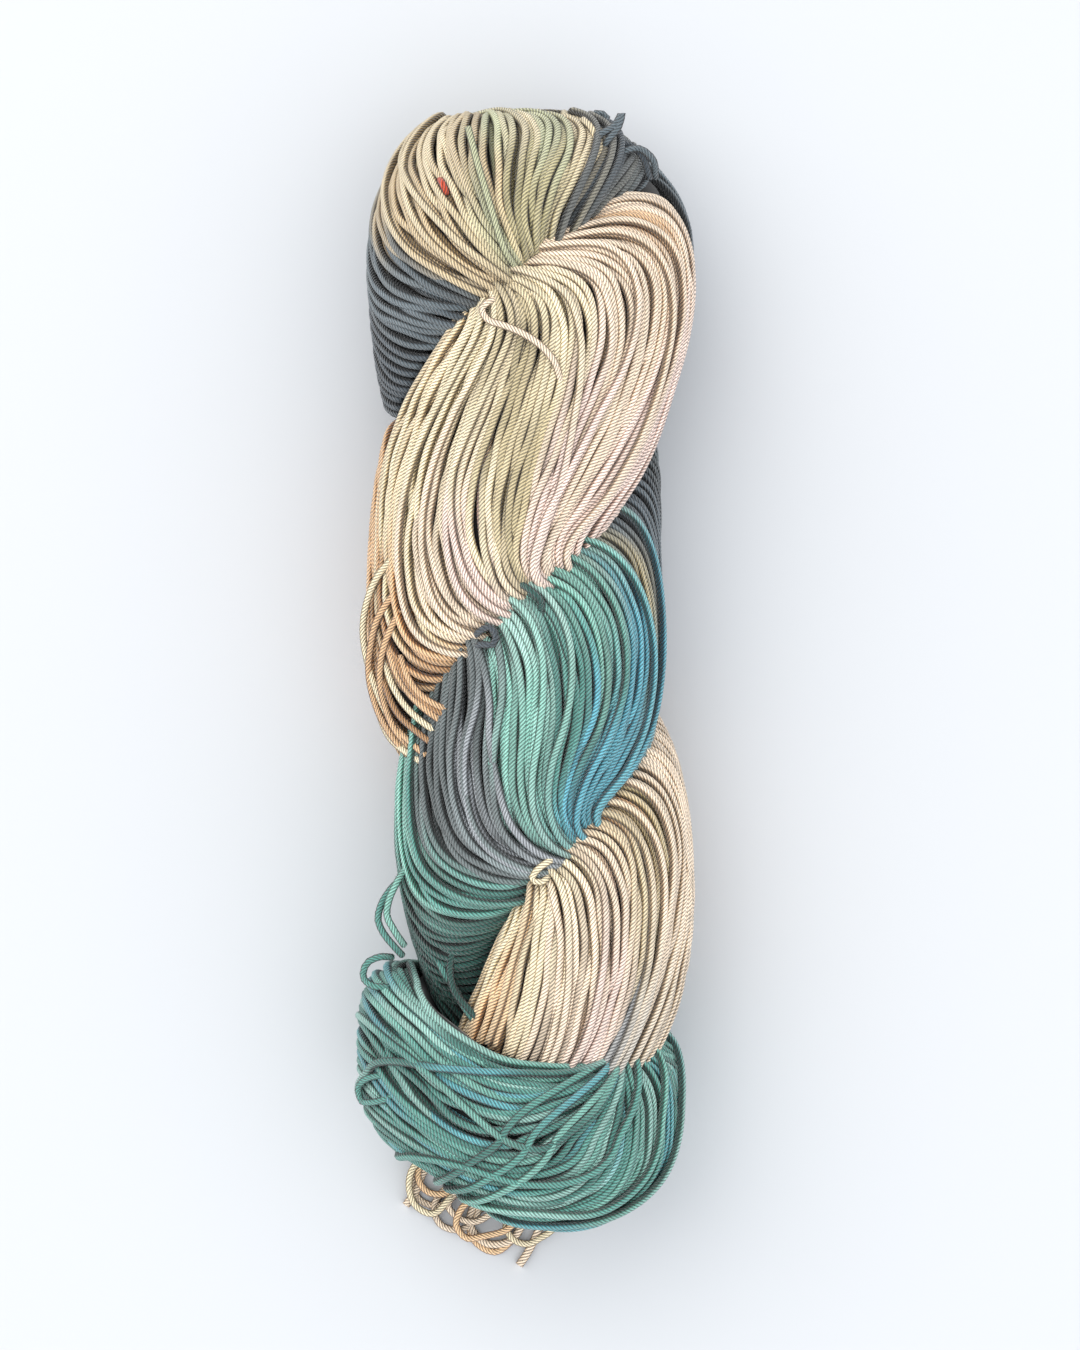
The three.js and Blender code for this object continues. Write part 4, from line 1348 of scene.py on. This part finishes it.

# %% [markdown]
# ## Slack in the yarn
#
# Here and there a length of a turn has worked loose and lies on the others, or sticks out at the edge. Each
# is placed at pixels of the photograph, and laid at the height of the hank that a line from the eye
# meets there. Where the line misses the hank, the length keeps the height at which it left. Its ends are
# lowered to tuck them in. That doesn't always reach: some ends near the outline stay in the open, and the
# orange fleck nearest the fold hovers. Those marked `low` lie on the table beside the loop.

# %% Table of the slack lengths
SLACK = [
    {"dye": "slate", "low": False, "lift": 1.5,
     "x": (580, 587, 597, 606, 604, 594, 586), "y": (158, 130, 113, 116, 130, 142, 158)},
    {"dye": "slate", "low": False, "lift": 1.5,
     "x": (592, 601, 614, 622, 618, 608, 600), "y": (158, 134, 126, 113, 128, 140, 160)},
    {"dye": "slate", "low": False, "lift": 1.5,
     "x": (612, 626, 641, 652, 656), "y": (160, 151, 149, 158, 176)},
    {"dye": "deep_slate", "low": False, "lift": 0.8,
     "x": (600, 615, 632, 644, 650), "y": (150, 143, 147, 160, 178)},
    {"dye": "sand", "low": False, "lift": 0.6,
     "x": (583, 592, 597, 592, 583, 574, 566), "y": (118, 129, 146, 170, 192, 214, 238)},
    {"dye": "sage", "low": False, "lift": 0.6,
     "x": (468, 476, 486, 494, 503, 518), "y": (126, 158, 192, 218, 246, 270)},
    {"dye": "rust", "low": False, "lift": -0.3,
     "x": (440, 443, 447), "y": (179, 185, 193)},
    {"dye": "rust", "low": False, "lift": -0.3,
     "x": (479, 481, 484), "y": (133, 139, 146)},
    {"dye": "peach", "low": False, "lift": 0.8,
     "x": (500, 490, 482, 487, 503, 522, 540, 552, 562), "y": (298, 301, 309, 319, 325, 333, 345, 358, 384)},
    {"dye": "deep_slate", "low": False, "lift": 1.2,
     "x": (474, 480, 489, 496, 492, 482, 475), "y": (640, 631, 627, 635, 645, 644, 650)},
    {"dye": "deep_teal", "low": False, "lift": 0.8,
     "x": (520, 530, 540, 540), "y": (583, 590, 599, 614)},
    {"dye": "cream", "low": False, "lift": 1.0,
     "x": (556, 546, 536, 532, 540, 552), "y": (858, 863, 871, 880, 882, 872)},
    {"dye": "cream", "low": False, "lift": 0.3,
     "x": (394, 378, 368, 363, 368, 378, 392, 410), "y": (556, 576, 600, 630, 664, 694, 722, 752)},
    {"dye": "fawn", "low": False, "lift": 0.3,
     "x": (396, 378, 371, 369, 376, 390, 408), "y": (590, 618, 646, 676, 706, 732, 756)},
    {"dye": "fawn", "low": False, "lift": 0.3,
     "x": (400, 386, 380, 384, 396, 412), "y": (610, 640, 672, 702, 730, 750)},
    {"dye": "fawn", "low": False, "lift": 0.2,
     "x": (386, 394, 408, 424, 442), "y": (640, 668, 692, 708, 722)},
    {"dye": "cream", "low": False, "lift": 0.5,
     "x": (384, 391, 404, 420, 436), "y": (656, 682, 704, 720, 732)},
    # Painted shade: the two dark brown lengths in this group are coloured as the shade at the hank's left
    # edge.
    {"dye": "shade_umber", "low": False, "lift": 0.2,
     "x": (382, 388, 400, 416, 432), "y": (668, 694, 716, 731, 744)},
    {"dye": "fawn", "low": False, "lift": 0.4,
     "x": (378, 384, 396, 410, 426), "y": (680, 706, 727, 742, 756)},
    {"dye": "shade_umber", "low": False, "lift": 0.0,
     "x": (392, 402, 416, 432, 446), "y": (648, 674, 694, 708, 716)},
    {"dye": "fawn", "low": False, "lift": 0.2,
     "x": (400, 408, 420, 434, 448), "y": (656, 678, 694, 704, 710)},
    {"dye": "cream", "low": False, "lift": 0.2,
     "x": (374, 380, 391, 406, 424), "y": (690, 716, 738, 752, 764)},
    {"dye": "sea_green", "low": False, "lift": 0.3,
     "x": (402, 390, 381, 378, 384, 392, 402), "y": (878, 890, 905, 920, 934, 944, 956)},
    {"dye": "mint", "low": False, "lift": 0.3,
     "x": (404, 396, 389, 387, 394, 404), "y": (870, 884, 900, 916, 930, 946)},
    {"dye": "sea_green", "low": False, "lift": 0.3,
     "x": (392, 379, 367, 363, 372, 388), "y": (958, 957, 963, 976, 985, 988)},
    {"dye": "sea_green", "low": False, "lift": 0.3,
     "x": (384, 368, 359, 361, 374, 392), "y": (1076, 1078, 1087, 1098, 1102, 1098)},
    {"dye": "sea_green", "low": False, "lift": 1.0,
     "x": (436, 446, 456, 464, 474), "y": (958, 976, 990, 1004, 1022)},
    {"dye": "deep_teal", "low": False, "lift": 1.0,
     "x": (452, 450, 456, 468, 480), "y": (952, 972, 992, 1008, 1022)},
    {"dye": "peach", "low": True, "lift": 0,
     "x": (446, 428, 416, 412, 420, 436, 462), "y": (1160, 1166, 1174, 1186, 1200, 1206, 1190)},
    {"dye": "peach", "low": True, "lift": 0.4,
     "x": (466, 446, 434, 440, 458, 474, 480), "y": (1176, 1188, 1206, 1224, 1230, 1222, 1204)},
    {"dye": "apricot", "low": True, "lift": 0,
     "x": (484, 472, 470, 480, 495, 512, 524), "y": (1206, 1218, 1232, 1246, 1252, 1240, 1220)},
    {"dye": "cream", "low": True, "lift": 0.9,
     "x": (508, 506, 514, 528, 540, 552, 560), "y": (1214, 1228, 1240, 1244, 1238, 1230, 1212)},
    {"dye": "apricot", "low": True, "lift": 1.4,
     "x": (436, 421, 418, 428, 446, 470), "y": (1156, 1164, 1178, 1192, 1194, 1180)},
    {"dye": "peach", "low": True, "lift": 1.7,
     "x": (456, 448, 456, 474, 490, 500), "y": (1192, 1206, 1216, 1222, 1214, 1200)},
    {"dye": "cream", "low": True, "lift": 2.2,
     "x": (424, 413, 409, 416, 432, 452), "y": (1158, 1168, 1184, 1206, 1214, 1196)},
    {"dye": "apricot", "low": True, "lift": 2.4,
     "x": (476, 462, 456, 466, 484, 506, 522), "y": (1196, 1208, 1224, 1238, 1236, 1230, 1214)},
]
SLACK_RADIUS = 0.78
SLACK_STEP = 1.3
SLACK_TUCK = 2.2
LEAST_SLACK_POINTS = 10
MISSED_DROP = 6.0

# %% Laying the slack lengths
EYE = Vector((VIEW_MIDDLE[0], VIEW_MIDDLE[1], EYE_HEIGHT))


def way_through(x, y):
    """The direction from the eye through a pixel of the photograph."""
    aim = Vector((VIEW_MIDDLE[0] + (x - PHOTO_WIDE / 2) * MM_PER_PIXEL,
                  VIEW_MIDDLE[1] - (y - PHOTO_HIGH / 2) * MM_PER_PIXEL, MIDDLE_HEIGHT))
    return (aim - EYE).normalized()


def height_below(way):
    """Height of the hank where a line from the eye first meets it, or not a number where it misses."""
    heights = [np.nan]
    for body in (PALE_BODY, GREEN_BODY, LOOP_BODY):
        hit, _, _, _ = body.ray_cast(EYE, way)
        if hit is not None:
            heights.append(hit.z)
    return max(heights[1:], default=np.nan)


def slack_heights(ways, low):
    """Heights under one slack length, which past the outline stays as high as where it leaves the hank."""
    if low:
        return np.zeros(len(ways))
    heights = np.array([height_below(way) for way in ways])
    met = np.flatnonzero(~np.isnan(heights))
    if len(met) == 0:
        return np.full(len(ways), MIDDLE_HEIGHT - MISSED_DROP)
    return np.interp(np.arange(len(ways)), met, heights[met])


def lay_slack(bit):
    """A tube of one slack length."""
    low = bit["low"]
    ways = [way_through(x, y) for x, y in zip(bit["x"], bit["y"])]
    heights = slack_heights(ways, low) + SLACK_RADIUS + bit["lift"]
    points = np.array([EYE + way * ((EYE.z - height) / -way.z) for way, height in zip(ways, heights)])
    points[1:-1, 2] = np.maximum(points[1:-1, 2], (points[:-2, 2] + points[2:, 2]) / 2)
    if not low:
        points[[0, -1], 2] -= SLACK_TUCK + bit["lift"]
    length = np.linalg.norm(np.diff(points, axis=0), axis=1).sum()
    points = through(points, max(LEAST_SLACK_POINTS, int(length / SLACK_STEP)))
    points[:, 2] = np.maximum(points[:, 2], SLACK_RADIUS)
    outward = np.tile([0.0, 0.0, 1.0], (len(points), 1))
    dye = np.broadcast_to(linear(DYES[bit["dye"]]), points.shape)
    return tube(points, outward, dye, SLACK_RADIUS, TUBE_SIDES, 0.0)


piece = make_piece("slack_lengths", [lay_slack(bit) for bit in SLACK], DYED_COTTON)
